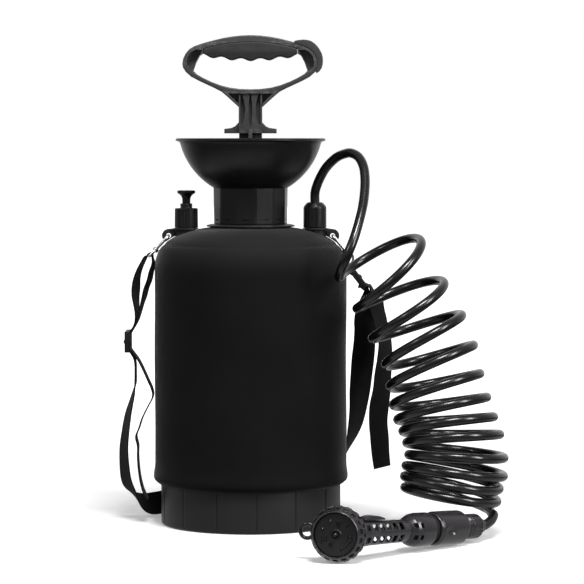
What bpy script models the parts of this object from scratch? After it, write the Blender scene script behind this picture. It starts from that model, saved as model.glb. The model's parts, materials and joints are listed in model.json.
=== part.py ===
"""Pump-up portable shower: sleeved pressure tank, funnel, D-handle pump, coiled hose and spray gun.

Frame: origin on the tank's axis at floor level, +Z up, -Y towards the front, hose and gun at +X.
"""
from math import asin, atan2, ceil, cos, pi, radians, sin, sqrt

import bmesh
import bpy
import numpy as np
from mathutils import Matrix, Vector

MM = 0.001

# Fits
GAP = 0.3 * MM
SLIDE_GAP = 0.4 * MM

# Facet counts around a turn
STEPS_LARGE = 30
STEPS_MEDIUM = 18
STEPS_SMALL = 16
STEPS_TINY = 10

# Sleeved tank
SLEEVE_RADIUS = 103 * MM
SLEEVE_THICKNESS = 3.5 * MM
SLEEVE_TOP_RADIUS = 45.5 * MM
HEM_BULGE = 0.7 * MM
HEM_TOP_Z = 57 * MM
HEM_BOTTOM_Z = 43 * MM
SHOULDER_Z = 272 * MM
DOME_RISE = 45.5 * MM
DOME_SIDE_POWER = 3.5
DOME_TOP_POWER = 2.55
DOME_POINTS = 6
TANK_WALL = 3 * MM

# Neck and flange
NECK_RADIUS = 34 * MM
NECK_WALL = 3 * MM
NECK_TOP_Z = 350 * MM
FLANGE_RADIUS = 47.2 * MM
FLANGE_TOP_Z = 322 * MM
FLANGE_RIM = 4.8 * MM

# Base cup
BASE_RADIUS = 96.5 * MM
BASE_WALL = 3 * MM
BASE_FLOOR = 3 * MM
BASE_HEIGHT = 50 * MM
LEDGE_Z = 30 * MM
LEDGE_THICKNESS = 3 * MM
LEDGE_HOLE_RADIUS = 60 * MM
GROOVE_COUNT = 14
GROOVE_WIDTH = 1.2 * MM
GROOVE_DEPTH = 0.8 * MM
GROOVE_PHASE = 4.6
SLOT_ANGLE = 34
SLOT_CLEARANCE = 1.2 * MM

# Ports on the dome
PORT_X = 69 * MM
BOSS_RADIUS = 12 * MM
BOSS_TOP_Z = 315.1 * MM
BOSS_BOTTOM_Z = 298 * MM
SPIGOT_RADIUS = 8.5 * MM
SPIGOT_TOP_Z = 334 * MM
PORT_BORE_RADIUS = 4.6 * MM
SLEEVE_HOLE_CLEARANCE = 0.5 * MM

# Strap lugs
LUG_RING_RADIUS = 13.5 * MM
LUG_RING_THICKNESS = 2.4 * MM
LUG_PLATE = 6 * MM
LUG_HOLE_X = 88 * MM
LUG_HOLE_Z = 309.5 * MM
LUG_HOLE_RADIUS = 2.6 * MM
LUG_TAB_RADIUS = 7.2 * MM
LUG_SLEEVE_GAP = 0.5 * MM

# Port nuts
RELIEF_NUT_RADIUS = 12.5 * MM
RELIEF_NUT_TOP_Z = 339 * MM
RELIEF_COLLAR_RADIUS = 6.4 * MM
RELIEF_COLLAR_TOP_Z = 344 * MM
RELIEF_STEM_RADIUS = 4.4 * MM
RELIEF_PIN_RADIUS = 2.4 * MM
RELIEF_PIN_BOTTOM_Z = 326 * MM
RELIEF_KNOB_RADIUS = 9.7 * MM
RELIEF_KNOB_Z = 353.5 * MM
RELIEF_KNOB_TOP_Z = 358 * MM
OUTLET_NUT_RADIUS = 12.3 * MM
OUTLET_NUT_TOP_Z = 345 * MM
OUTLET_CHAMFER = 4.5 * MM
NUT_RIBS = 12
OUTLET_GROOVES = 8
RIB_DEPTH = 0.7 * MM
BARB_RADIUS = 4.2 * MM
BARB_FLANGE = 2 * MM
BARB_BORE_RADIUS = 2.6 * MM

# Dip tube
DIP_RADIUS = 4.2 * MM
DIP_WALL = 1.4 * MM
DIP_BOTTOM_Z = 58 * MM
DIP_TOP_Z = 330 * MM
FILTER_RADIUS = 8 * MM
FILTER_LENGTH = 20 * MM

# Funnel
COLLAR_RADIUS = 39.2 * MM
COLLAR_FLARE = 0.7 * MM
COLLAR_SIDES = 12
COLLAR_PHASE = 8
SHELF_Z = 362 * MM
SHELF_THICKNESS = 6 * MM
SHELF_HOLE_RADIUS = 30.5 * MM
SHELF_RADIUS = 37.9 * MM
BOWL_RADIUS = 78 * MM
BOWL_CENTRE_Z = 428 * MM
BOWL_WALL = 2.5 * MM
BOWL_RIM_Z = 413 * MM
BOWL_LIP = 2 * MM
BOWL_POINTS = 5
PANEL_SLOT_WIDTH = 9 * MM
PANEL_SLOT_HEIGHT = 1.6 * MM
PANEL_SLOT_Z = 327 * MM
PANEL_SLOT_DEPTH = 1.2 * MM
GASKET_THICKNESS = 2 * MM

# Pump
CAP_RADIUS = 36 * MM
CAP_THICKNESS = 7 * MM
CAP_TAB_WALL = 3.5 * MM
CAP_TAB_HALF_WIDTH = 9 * MM
CAP_TAB_HOOK = 5 * MM
WING_LOCK_PLAY = 2 * MM
CYLINDER_RADIUS = 19 * MM
CYLINDER_WALL = 2 * MM
CYLINDER_FLANGE_RADIUS = 24 * MM
CYLINDER_FLANGE = 3 * MM
CYLINDER_BOTTOM_Z = 95 * MM
CYLINDER_VALVE_RADIUS = 5 * MM
FLAP_RADIUS = 9 * MM
FLAP_THICKNESS = 1.5 * MM
BUSH_WALL = 3 * MM
BUSH_LIP = 3 * MM
BUSH_LIP_THICKNESS = 1.5 * MM
ROD_RADIUS = 12.5 * MM
ROD_WEB = 4 * MM
ROD_BOTTOM_Z = 164.3 * MM
ROD_DISC_THICKNESS = 3 * MM
ROD_DISC_RADIUS = 12.2 * MM
ROD_DISC_PITCH = 80 * MM
PISTON_RADIUS = 16.6 * MM
PISTON_HEIGHT = 14 * MM
CUP_HEIGHT = 5 * MM
CUP_DEPTH = 2.5 * MM
WING_Z = 422 * MM
WING_THICKNESS = 6 * MM
WING_HALF_SPAN = 28 * MM
WING_DEPTH = 14 * MM
COLUMN_DEPTH = 22 * MM
COLUMN_TOP_Z = 447 * MM
COLUMN_POCKET = 6 * MM
COLUMN_RIB = 2 * MM

# D handle
HANDLE_DEPTH = 26 * MM
HANDLE_WEB = 7 * MM
GRIP_HALF_WIDTH = 50 * MM
GRIP_PROUD = 1 * MM
GRIP_TOP_Z = 516.5 * MM
GRIP_SAG = 7.5 * MM
FINGER_COUNT = 5
FINGER_PITCH = 20.5 * MM
FINGER_DEPTH = 3 * MM
FINGER_Z = 500 * MM
CLIP_DEPTH = 20 * MM

# Snap hooks
HOOK_TILT_LEFT = 42.9
HOOK_TILT_RIGHT = -41
HOOK_WIRE_RADIUS = 1.8 * MM
HOOK_HALF_WIDTH = 8 * MM
HOOK_BEND = 3.5 * MM
HOOK_NOSE_END = 5 * MM
HOOK_EYE_TOP = 20 * MM
HOOK_EYE_BAR = 29 * MM
HOOK_EYE_HALF_WIDTH = 16.5 * MM
HOOK_EYE_RADIUS = 1.5 * MM
HOOK_GATE_HINGE = 15.5 * MM
HOOK_HANG = 0.35 * MM
GATE_RADIUS = 1.5 * MM
GATE_SWING_GAP = 0.6 * MM

# Webbing and sliders
WEB_WIDTH = 25 * MM
WEB_THICKNESS = 1.6 * MM
WEB_STEP = 14 * MM
SLIDER_BAR_RADIUS = 1.5 * MM
SLIDER_BAR_PITCH = 10 * MM
SLIDER_BAR_SET = 1.5 * MM
SLIDER_PLATE = 2.4 * MM
SLIDER_PLATE_DEPTH = 6.5 * MM
SLIDER_SIDE_CLEARANCE = 0.5 * MM
SLIDER_LEFT = (-131 * MM, 0, 196 * MM)
SLIDER_RIGHT = (112.5 * MM, 0, 262 * MM)
SLIDER_RIGHT_TILT = 20

# Hose
HOSE_RADIUS = 5 * MM
COIL_POINTS_PER_TURN = 20
COIL_TURNS = 12
HOSE_STEP = 16 * MM

# Spray gun and connector: the gun axis runs from the head to the hose
GUN_POINT = (200.6 * MM, -178 * MM, 18.8 * MM)
GUN_DIRECTION = (0.69, 0.72, -0.058)
HEAD_U = -165.6 * MM
HEAD_TURN = 28.7
DIAL_RADIUS = 27.5 * MM
DIAL_DEPTH = 17 * MM
DIAL_SCALLOPS = 18
DIAL_SCALLOP_RADIUS = 2.6 * MM
DIAL_BAND = 7 * MM
FACE_RADIUS = 21.5 * MM
FACE_INSET = 1.5 * MM
FACE_THICKNESS = 4 * MM
FACE_HOLE_RADIUS = 1 * MM
HOUSING_RADIUS = 25 * MM
HOUSING_LENGTH = 23 * MM
HANDLE_TUBE_START = -122 * MM
HANDLE_TUBE_END = -64 * MM
HANDLE_TUBE_RADIUS_HEAD = 12.5 * MM
HANDLE_TUBE_RADIUS_INLET = 11 * MM
HANDLE_TUBE_WALL = 2.6 * MM
WINDOW_PITCH = 6.7 * MM
WINDOW_COUNT = 8
WINDOW_LENGTH = 4 * MM
WINDOW_HEIGHT = 5 * MM
WINDOW_OFFSET = 5.8 * MM
WATER_TUBE_RADIUS = 4.5 * MM
WATER_BORE_RADIUS = 3 * MM
INLET_END = -28 * MM
INLET_RADIUS = 17 * MM
NIPPLE_RADIUS = 6.4 * MM
NIPPLE_END = -4 * MM
INLET_RING_END = -16 * MM
CONNECTOR_RADIUS = 17.2 * MM
CONNECTOR_SLEEVE_END = 19 * MM
CONNECTOR_TUBE_RADIUS = 10 * MM
CONNECTOR_COLLAR_RADIUS = 14.4 * MM
CONNECTOR_COLLAR_START = 8 * MM
CONNECTOR_END = 31 * MM
CONNECTOR_BORE_RADIUS = 6.8 * MM
HOSE_NUT_RADIUS = 12.8 * MM
HOSE_NUT_SHOULDER = 46 * MM
HOSE_NUT_END = 56 * MM
HOSE_NECK_RADIUS = 7 * MM
LEVER_END = -99 * MM
LEVER_LENGTH = 30 * MM
LEVER_WIDTH = 12 * MM
LEVER_GAP = 0.5 * MM
LEVER_EDGE = 1.2 * MM
LEVER_CROWN = 3 * MM
HANG_RING_RADIUS = 7 * MM
HANG_WIRE_RADIUS = 1.4 * MM
EAR_X = 27 * MM
EAR_Z = 23 * MM
EAR_REACH = 3.5 * MM
EAR_THICKNESS = 3 * MM
EAR_HEIGHT = 7 * MM

BLACK = (0.012, 0.012, 0.013)
CHARCOAL = (0.022, 0.022, 0.024)
SLATE = (0.035, 0.034, 0.038)
SILVER = (0.55, 0.55, 0.56)


# Scene helpers

def clear_scene():
    for old in list(bpy.data.objects):
        bpy.data.objects.remove(old, do_unlink=True)


def add_collection(name):
    collection = bpy.data.collections.new(name)
    bpy.context.scene.collection.children.link(collection)
    return collection


clear_scene()
PART = add_collection("portable_shower")
CUTTERS = add_collection("cutters")


def material(name, colour, roughness, metallic=0.0):
    made = bpy.data.materials.new(name)
    made.use_nodes = True
    shader = made.node_tree.nodes["Principled BSDF"]
    shader.inputs["Base Color"].default_value = (*colour, 1)
    shader.inputs["Roughness"].default_value = roughness
    shader.inputs["Metallic"].default_value = metallic
    made.diffuse_color = (*colour, 1)
    return made


def finish(obj, colour, roughness, metallic=0.0):
    obj.data.materials.append(material(obj.name, colour, roughness, metallic))
    return obj


def add_object(name, data, frame=None, location=(0, 0, 0)):
    obj = bpy.data.objects.new(name, data)
    PART.objects.link(obj)
    obj.parent = frame
    obj.location = location
    return obj


def add_frame(name, location, rotation=(0, 0, 0), parent=None):
    frame = add_object(name, None, parent, location)
    frame.empty_display_size = 20 * MM
    frame.rotation_euler = rotation
    bpy.context.view_layer.update()
    return frame


def as_cutter(obj):
    PART.objects.unlink(obj)
    CUTTERS.objects.link(obj)
    obj.hide_render = True
    obj.display_type = "WIRE"
    return obj


def combine(obj, other, operation):
    boolean = obj.modifiers.new(other.name, "BOOLEAN")
    boolean.operation = operation
    boolean.solver = "EXACT"
    boolean.object = as_cutter(other)
    return obj


def cut(obj, cutter):
    return combine(obj, cutter, "DIFFERENCE")


def join(obj, other):
    return combine(obj, other, "UNION")


def solid(curve_object):
    """The closed mesh of a curve object, in its place."""
    bpy.context.view_layer.update()
    evaluated = curve_object.evaluated_get(bpy.context.evaluated_depsgraph_get())
    mesh = bpy.data.meshes.new_from_object(evaluated)
    welded = bmesh.new()
    welded.from_mesh(mesh)
    bmesh.ops.remove_doubles(welded, verts=welded.verts, dist=0.01 * MM)
    welded.to_mesh(mesh)
    welded.free()
    name = curve_object.name
    curve_object.name = name + "_curve"
    made = add_object(name, mesh, curve_object.parent)
    made.matrix_world = curve_object.matrix_world
    bpy.data.objects.remove(curve_object, do_unlink=True)
    return made


# Shapes

def turned(name, profile, steps, closed=False, frame=None, location=(0, 0, 0)):
    """A profile of (radius, height) points, down its outer side, turned about Z."""
    mesh = bpy.data.meshes.new(name)
    count = len(profile)
    edges = [(index, index + 1) for index in range(count - 1)]
    if closed:
        edges.append((count - 1, 0))
    mesh.from_pydata([(radius, 0, height) for radius, height in profile], edges, [])
    obj = add_object(name, mesh, frame, location)
    screw = obj.modifiers.new("Turn", "SCREW")
    screw.steps = steps
    screw.render_steps = steps
    screw.use_merge_vertices = True
    screw.merge_threshold = 0.01 * MM
    return obj


def ring(name, outer, inner, top, bottom, steps, frame=None, location=(0, 0, 0)):
    profile = [(outer, top), (outer, bottom), (inner, bottom), (inner, top)]
    return turned(name, profile, steps, True, frame, location)


def rod(name, radius, top, bottom, steps, frame=None, location=(0, 0, 0)):
    profile = [(0, top), (radius, top), (radius, bottom), (0, bottom)]
    return turned(name, profile, steps, False, frame, location)


def boxes(name, size, centres, frame=None, turns=None):
    """Boxes of one size at several centres, each turned about Z by its own angle."""
    shape = bmesh.new()
    for index, centre in enumerate(centres):
        turn = Matrix.Rotation(turns[index] if turns else 0, 4, "Z")
        place = turn @ Matrix.Translation(centre) @ Matrix.Diagonal((*size, 1))
        bmesh.ops.create_cube(shape, size=1, matrix=place)
    mesh = bpy.data.meshes.new(name)
    shape.to_mesh(mesh)
    shape.free()
    return add_object(name, mesh, frame)


def box(name, size, centre, frame=None):
    return boxes(name, size, [centre], frame)


def plate(name, outlines, thickness, frame=None, location=(0, 0, 0), facing_y=True):
    """Flat outlines of (x, z) points, filled between each other, with a thickness along Y."""
    curve = bpy.data.curves.new(name, "CURVE")
    curve.dimensions = "2D"
    curve.fill_mode = "BOTH"
    curve.extrude = thickness / 2
    for outline in outlines:
        spline = curve.splines.new("POLY")
        spline.points.add(len(outline) - 1)
        for point, (across, up) in zip(spline.points, outline):
            point.co = (across, up, 0, 1)
        spline.use_cyclic_u = True
    obj = add_object(name, curve, frame, location)
    if facing_y:
        obj.rotation_euler = (pi / 2, 0, 0)
    return solid(obj)


def tube(name, points, radius, resolution=2, cyclic=False, frame=None):
    curve = bpy.data.curves.new(name, "CURVE")
    curve.dimensions = "3D"
    curve.bevel_depth = radius
    curve.bevel_resolution = resolution
    curve.use_fill_caps = True
    spline = curve.splines.new("POLY")
    spline.points.add(len(points) - 1)
    for point, place in zip(spline.points, points):
        point.co = (*place, 1)
    spline.use_cyclic_u = cyclic
    return add_object(name, curve, frame)


def arc(centre, radius, start, end, count):
    """Points on an arc, angles in degrees from +X towards +Z."""
    angles = np.linspace(radians(start), radians(end), count)
    return [(centre[0] + radius * cos(angle), centre[1] + radius * sin(angle)) for angle in angles]


def smooth_stations(stations, step):
    """Rows of values read from a smooth curve through the given rows, no more than a step apart."""
    rows = np.array(stations, dtype=float)
    smooth = []
    last = len(rows) - 1
    for index in range(last):
        before = rows[max(index - 1, 0)]
        start = rows[index]
        end = rows[index + 1]
        after = rows[min(index + 2, last)]
        count = max(1, ceil(np.linalg.norm((end - start)[:3]) / step))
        for part in range(count):
            share = part / count
            smooth.append(0.5 * (2 * start + (end - before) * share
                                 + (2 * before - 5 * start + 4 * end - after) * share ** 2
                                 + (3 * start - before - 3 * end + after) * share ** 3))
    smooth.append(rows[last])
    return smooth


def ribbon(name, stations, width, thickness):
    """Webbing through stations of a centre point and the direction that its width takes."""
    rows = smooth_stations(stations, WEB_STEP)
    centres = [Vector(row[:3]) for row in rows]
    shape = bmesh.new()
    pairs = []
    for index, row in enumerate(rows):
        along = centres[min(index + 1, len(rows) - 1)] - centres[max(index - 1, 0)]
        across = Vector(row[3:6])
        across -= across.project(along)
        across.normalize()
        pairs.append([shape.verts.new(centres[index] + across * (side * width / 2)) for side in (-1, 1)])
    for (left, right), (next_left, next_right) in zip(pairs, pairs[1:]):
        shape.faces.new((left, right, next_right, next_left))
    mesh = bpy.data.meshes.new(name)
    shape.to_mesh(mesh)
    shape.free()
    obj = add_object(name, mesh)
    wall = obj.modifiers.new("Thickness", "SOLIDIFY")
    wall.thickness = thickness
    wall.offset = 0
    return obj


# Tank

TANK_RADIUS = SLEEVE_RADIUS - SLEEVE_THICKNESS - GAP
TANK_DOME_RISE = DOME_RISE - SLEEVE_THICKNESS - GAP
TANK_FOOT_RADIUS = BASE_RADIUS - BASE_WALL - GAP
TANK_FLOOR_Z = LEDGE_Z + LEDGE_THICKNESS + GAP
LUG_RING_Z = BOSS_TOP_Z + GAP
NUT_BOTTOM_Z = LUG_RING_Z + LUG_RING_THICKNESS + GAP
NUT_BORE_RADIUS = SPIGOT_RADIUS + SLIDE_GAP
NUT_CEILING_Z = SPIGOT_TOP_Z + GAP


def dome_height(radius, full_radius, rise):
    share = 1 - (radius / full_radius) ** DOME_SIDE_POWER
    return SHOULDER_Z + rise * share ** (1 / DOME_TOP_POWER)


def dome(full_radius, rise, count=DOME_POINTS):
    """Profile points from the dome's top opening down to the shoulder, at the same angles on every layer."""
    top_angle = np.arccos((SLEEVE_TOP_RADIUS / SLEEVE_RADIUS) ** (DOME_SIDE_POWER / 2))
    points = []
    for angle in np.linspace(top_angle, 0, count):
        radius = full_radius * cos(angle) ** (2 / DOME_SIDE_POWER)
        points.append((radius, SHOULDER_Z + rise * sin(angle) ** (2 / DOME_TOP_POWER)))
    return points


def tank_shell():
    inner_radius = TANK_RADIUS - TANK_WALL
    inner_rise = TANK_DOME_RISE - TANK_WALL
    bore = NECK_RADIUS - NECK_WALL
    foot_inner = TANK_FOOT_RADIUS - TANK_WALL
    floor_inner = TANK_FLOOR_Z + TANK_WALL
    step_z = BASE_HEIGHT + GAP
    inside = [(0, floor_inner), (foot_inner, floor_inner), (foot_inner, step_z + TANK_WALL),
              (inner_radius, step_z + 2 * TANK_WALL)]
    inside += dome(inner_radius, inner_rise, 3)[::-1]
    inside += [(bore, dome_height(bore, inner_radius, inner_rise)), (bore, NECK_TOP_Z)]
    outside = [(NECK_RADIUS, NECK_TOP_Z),
               (NECK_RADIUS, dome_height(NECK_RADIUS, TANK_RADIUS, TANK_DOME_RISE))]
    outside += dome(TANK_RADIUS, TANK_DOME_RISE)
    outside += [(TANK_RADIUS, step_z + TANK_WALL), (TANK_RADIUS - TANK_WALL, step_z),
                (TANK_FOOT_RADIUS, step_z), (TANK_FOOT_RADIUS, TANK_FLOOR_Z), (0, TANK_FLOOR_Z)]
    shell = turned("tank_shell", inside + outside, STEPS_LARGE)
    for side in (-1, 1):
        place = (side * PORT_X, 0, 0)
        spigot = [(0, SPIGOT_TOP_Z), (SPIGOT_RADIUS, SPIGOT_TOP_Z), (SPIGOT_RADIUS, BOSS_TOP_Z),
                  (BOSS_RADIUS, BOSS_TOP_Z), (BOSS_RADIUS, BOSS_BOTTOM_Z), (0, BOSS_BOTTOM_Z)]
        join(shell, turned("port", spigot, STEPS_SMALL, location=place))
    for side in (-1, 1):
        cut(shell, rod("port_bore", PORT_BORE_RADIUS, SPIGOT_TOP_Z + TANK_WALL,
                       BOSS_BOTTOM_Z - 2 * TANK_WALL, STEPS_TINY, location=(side * PORT_X, 0, 0)))
    finish(shell, CHARCOAL, 0.5)


def neoprene_sleeve():
    inner = SLEEVE_RADIUS - SLEEVE_THICKNESS
    hem_inner = BASE_RADIUS + GAP
    outside = dome(SLEEVE_RADIUS, DOME_RISE)
    outside += [(SLEEVE_RADIUS, HEM_TOP_Z), (SLEEVE_RADIUS + HEM_BULGE, HEM_TOP_Z - SLEEVE_THICKNESS),
                (SLEEVE_RADIUS + HEM_BULGE, HEM_BOTTOM_Z + SLEEVE_THICKNESS),
                (SLEEVE_RADIUS - SLEEVE_THICKNESS, HEM_BOTTOM_Z)]
    inside = [(hem_inner, HEM_BOTTOM_Z), (hem_inner, BASE_HEIGHT), (inner, BASE_HEIGHT + TANK_WALL)]
    inside += dome(inner, DOME_RISE - SLEEVE_THICKNESS)[::-1]
    sleeve = turned("neoprene_sleeve", outside + inside, STEPS_LARGE, closed=True)
    hole = BOSS_RADIUS + SLEEVE_HOLE_CLEARANCE
    for side in (-1, 1):
        cut(sleeve, rod("sleeve_hole", hole, SPIGOT_TOP_Z, BOSS_BOTTOM_Z - TANK_WALL, STEPS_SMALL,
                        location=(side * PORT_X, 0, 0)))
    finish(sleeve, BLACK, 0.9)


def neck_flange():
    bottom = dome_height(NECK_RADIUS, TANK_RADIUS, TANK_DOME_RISE) + GAP
    rim_bottom = FLANGE_TOP_Z - FLANGE_RIM
    seat = SLEEVE_TOP_RADIUS * (1 - SLEEVE_THICKNESS / SLEEVE_RADIUS) - 2 * GAP
    profile = [(FLANGE_RADIUS, FLANGE_TOP_Z), (FLANGE_RADIUS, rim_bottom), (seat, rim_bottom),
               (seat, bottom), (NECK_RADIUS + SLIDE_GAP, bottom), (NECK_RADIUS + SLIDE_GAP, FLANGE_TOP_Z)]
    finish(turned("neck_flange", profile, STEPS_LARGE, closed=True), CHARCOAL, 0.45)


def strap_slot_centre(side):
    middle = (BASE_RADIUS - BASE_WALL / 2)
    height = (BASE_FLOOR + LEDGE_Z) / 2
    return Vector((side * middle * cos(radians(SLOT_ANGLE)), middle * sin(radians(SLOT_ANGLE)), height))


def base_foot():
    inner = BASE_RADIUS - BASE_WALL
    ledge_top = LEDGE_Z + LEDGE_THICKNESS
    profile = [(0, BASE_FLOOR), (inner, BASE_FLOOR), (inner, LEDGE_Z), (LEDGE_HOLE_RADIUS, LEDGE_Z),
               (LEDGE_HOLE_RADIUS, ledge_top), (inner, ledge_top), (inner, BASE_HEIGHT),
               (BASE_RADIUS, BASE_HEIGHT), (BASE_RADIUS, 1.5 * MM), (BASE_RADIUS - 1.5 * MM, 0), (0, 0)]
    foot = turned("base_foot", profile, STEPS_LARGE)
    groove_radius = BASE_RADIUS * cos(pi / STEPS_LARGE)
    turns = [radians(GROOVE_PHASE - 90 + 360 / GROOVE_COUNT * index) for index in range(GROOVE_COUNT)]
    size = (2 * GROOVE_DEPTH, GROOVE_WIDTH, BASE_HEIGHT)
    cut(foot, boxes("grooves", size, [(groove_radius, 0, 0.5 * BASE_HEIGHT + 2 * MM)] * GROOVE_COUNT,
                    turns=turns))
    slot = (4 * BASE_WALL, WEB_THICKNESS + 2 * SLOT_CLEARANCE, WEB_WIDTH + SLOT_CLEARANCE)
    for side in (-1, 1):
        centre = strap_slot_centre(side)
        angle = atan2(centre.y, centre.x)
        reach = sqrt(centre.x ** 2 + centre.y ** 2)
        cut(foot, boxes("strap_slot", slot, [(reach, 0, centre.z)], turns=[angle]))
    finish(foot, CHARCOAL, 0.5)


# Ports, nuts and lugs

def ribbed(obj, radius, top, bottom, count, location, depth=RIB_DEPTH, frame=None):
    """Cuts grooves down a round nut, leaving ribs between them."""
    size = (2 * depth, pi * radius / count, top - bottom)
    turns = [2 * pi * index / count for index in range(count)]
    grooves = boxes("ribs", size, [(radius * cos(pi / count), 0, (top + bottom) / 2)] * count, frame, turns)
    grooves.location = location
    return cut(obj, grooves)


def relief_valve():
    place = (-PORT_X, 0, 0)
    pin_hole = RELIEF_STEM_RADIUS + SLIDE_GAP
    profile = [(RELIEF_COLLAR_RADIUS, RELIEF_COLLAR_TOP_Z), (RELIEF_COLLAR_RADIUS, RELIEF_NUT_TOP_Z),
               (RELIEF_NUT_RADIUS - MM, RELIEF_NUT_TOP_Z), (RELIEF_NUT_RADIUS, RELIEF_NUT_TOP_Z - MM),
               (RELIEF_NUT_RADIUS, NUT_BOTTOM_Z), (NUT_BORE_RADIUS, NUT_BOTTOM_Z),
               (NUT_BORE_RADIUS, NUT_CEILING_Z), (pin_hole, NUT_CEILING_Z), (pin_hole, RELIEF_COLLAR_TOP_Z)]
    nut = turned("relief_nut", profile, STEPS_SMALL, True, location=place)
    ribbed(nut, RELIEF_NUT_RADIUS, RELIEF_NUT_TOP_Z - 2 * MM, NUT_BOTTOM_Z - MM, NUT_RIBS, place)
    finish(nut, CHARCOAL, 0.4)
    stem_bottom = NUT_CEILING_Z + GAP
    edge = 1.5 * MM
    profile = [(0, RELIEF_KNOB_TOP_Z), (RELIEF_KNOB_RADIUS - edge, RELIEF_KNOB_TOP_Z),
               (RELIEF_KNOB_RADIUS, RELIEF_KNOB_TOP_Z - edge), (RELIEF_KNOB_RADIUS, RELIEF_KNOB_Z),
               (RELIEF_KNOB_RADIUS - edge, RELIEF_KNOB_Z - MM), (RELIEF_STEM_RADIUS, RELIEF_KNOB_Z - MM),
               (RELIEF_STEM_RADIUS, stem_bottom), (RELIEF_PIN_RADIUS, stem_bottom),
               (RELIEF_PIN_RADIUS, RELIEF_PIN_BOTTOM_Z), (0, RELIEF_PIN_BOTTOM_Z)]
    finish(turned("relief_knob", profile, STEPS_SMALL, location=place), CHARCOAL, 0.35)


def outlet():
    place = (PORT_X, 0, 0)
    hole = BARB_RADIUS + SLIDE_GAP
    seat = NUT_CEILING_Z + BARB_FLANGE + GAP
    profile = [(OUTLET_NUT_RADIUS - OUTLET_CHAMFER, OUTLET_NUT_TOP_Z),
               (OUTLET_NUT_RADIUS, OUTLET_NUT_TOP_Z - 1.3 * OUTLET_CHAMFER),
               (OUTLET_NUT_RADIUS, NUT_BOTTOM_Z), (NUT_BORE_RADIUS, NUT_BOTTOM_Z), (NUT_BORE_RADIUS, seat),
               (hole, seat), (hole, OUTLET_NUT_TOP_Z)]
    nut = turned("outlet_nut", profile, STEPS_SMALL, True, location=place)
    ribbed(nut, OUTLET_NUT_RADIUS, OUTLET_NUT_TOP_Z - 1.4 * OUTLET_CHAMFER, NUT_BOTTOM_Z - MM,
           OUTLET_GROOVES, place)
    finish(nut, CHARCOAL, 0.35)
    profile = [(BARB_RADIUS, OUTLET_NUT_TOP_Z), (BARB_RADIUS, NUT_CEILING_Z + BARB_FLANGE),
               (SPIGOT_RADIUS, NUT_CEILING_Z + BARB_FLANGE), (SPIGOT_RADIUS, NUT_CEILING_Z),
               (BARB_BORE_RADIUS, NUT_CEILING_Z), (BARB_BORE_RADIUS, OUTLET_NUT_TOP_Z)]
    finish(turned("outlet_barb", profile, STEPS_TINY, True, location=place), SLATE, 0.4)
    finish(ring("dip_tube", DIP_RADIUS, DIP_RADIUS - DIP_WALL, DIP_TOP_Z, DIP_BOTTOM_Z, STEPS_TINY,
                location=place), SLATE, 0.4)
    filter_top = DIP_BOTTOM_Z - GAP
    profile = [(0, filter_top), (FILTER_RADIUS, filter_top),
               (FILTER_RADIUS, filter_top - FILTER_LENGTH + MM),
               (FILTER_RADIUS - MM, filter_top - FILTER_LENGTH), (0, filter_top - FILTER_LENGTH)]
    finish(turned("dip_filter", profile, STEPS_TINY, location=place), SLATE, 0.6)


def strap_lug(name, side):
    ring_top = LUG_RING_Z + LUG_RING_THICKNESS
    lug = ring(name, LUG_RING_RADIUS, NUT_BORE_RADIUS, ring_top, LUG_RING_Z, STEPS_SMALL,
               location=(side * PORT_X, 0, 0))
    arm_start = PORT_X + LUG_RING_RADIUS - 2 * MM
    tab = arc((LUG_HOLE_X, LUG_HOLE_Z), LUG_TAB_RADIUS, 75, -105, 8)
    outline = [(arm_start, ring_top - 0.2 * MM)] + tab + [(arm_start, LUG_HOLE_Z - LUG_TAB_RADIUS)]
    outline = [(side * across, up) for across, up in outline]
    arm = plate("lug_arm", [outline], LUG_PLATE)
    join(lug, arm)
    hole = rod("lug_hole", LUG_HOLE_RADIUS, LUG_PLATE, -LUG_PLATE, STEPS_TINY,
               location=(side * LUG_HOLE_X, 0, LUG_HOLE_Z))
    hole.rotation_euler = (pi / 2, 0, 0)
    cut(lug, hole)
    clear = dome(SLEEVE_RADIUS + LUG_SLEEVE_GAP, DOME_RISE + LUG_SLEEVE_GAP)
    under = [(0, clear[0][1])] + clear + [(0, SHOULDER_Z)]
    cut(lug, turned("lug_underside", under, STEPS_LARGE))
    cut(lug, rod("lug_boss_clearance", BOSS_RADIUS + GAP, LUG_RING_Z, BOSS_BOTTOM_Z, STEPS_SMALL,
                 location=(side * PORT_X, 0, 0)))
    finish(lug, CHARCOAL, 0.45)


# Funnel

def bowl_arc(radius, low_radius, high_z, count):
    """Points of a sphere about the bowl's centre, from its rim down to a smaller radius."""
    low = asin(low_radius / radius)
    high = np.arccos((BOWL_CENTRE_Z - high_z) / radius)
    angles = np.linspace(high, low, count)
    return [(radius * sin(angle), BOWL_CENTRE_Z - radius * cos(angle)) for angle in angles]


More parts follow.
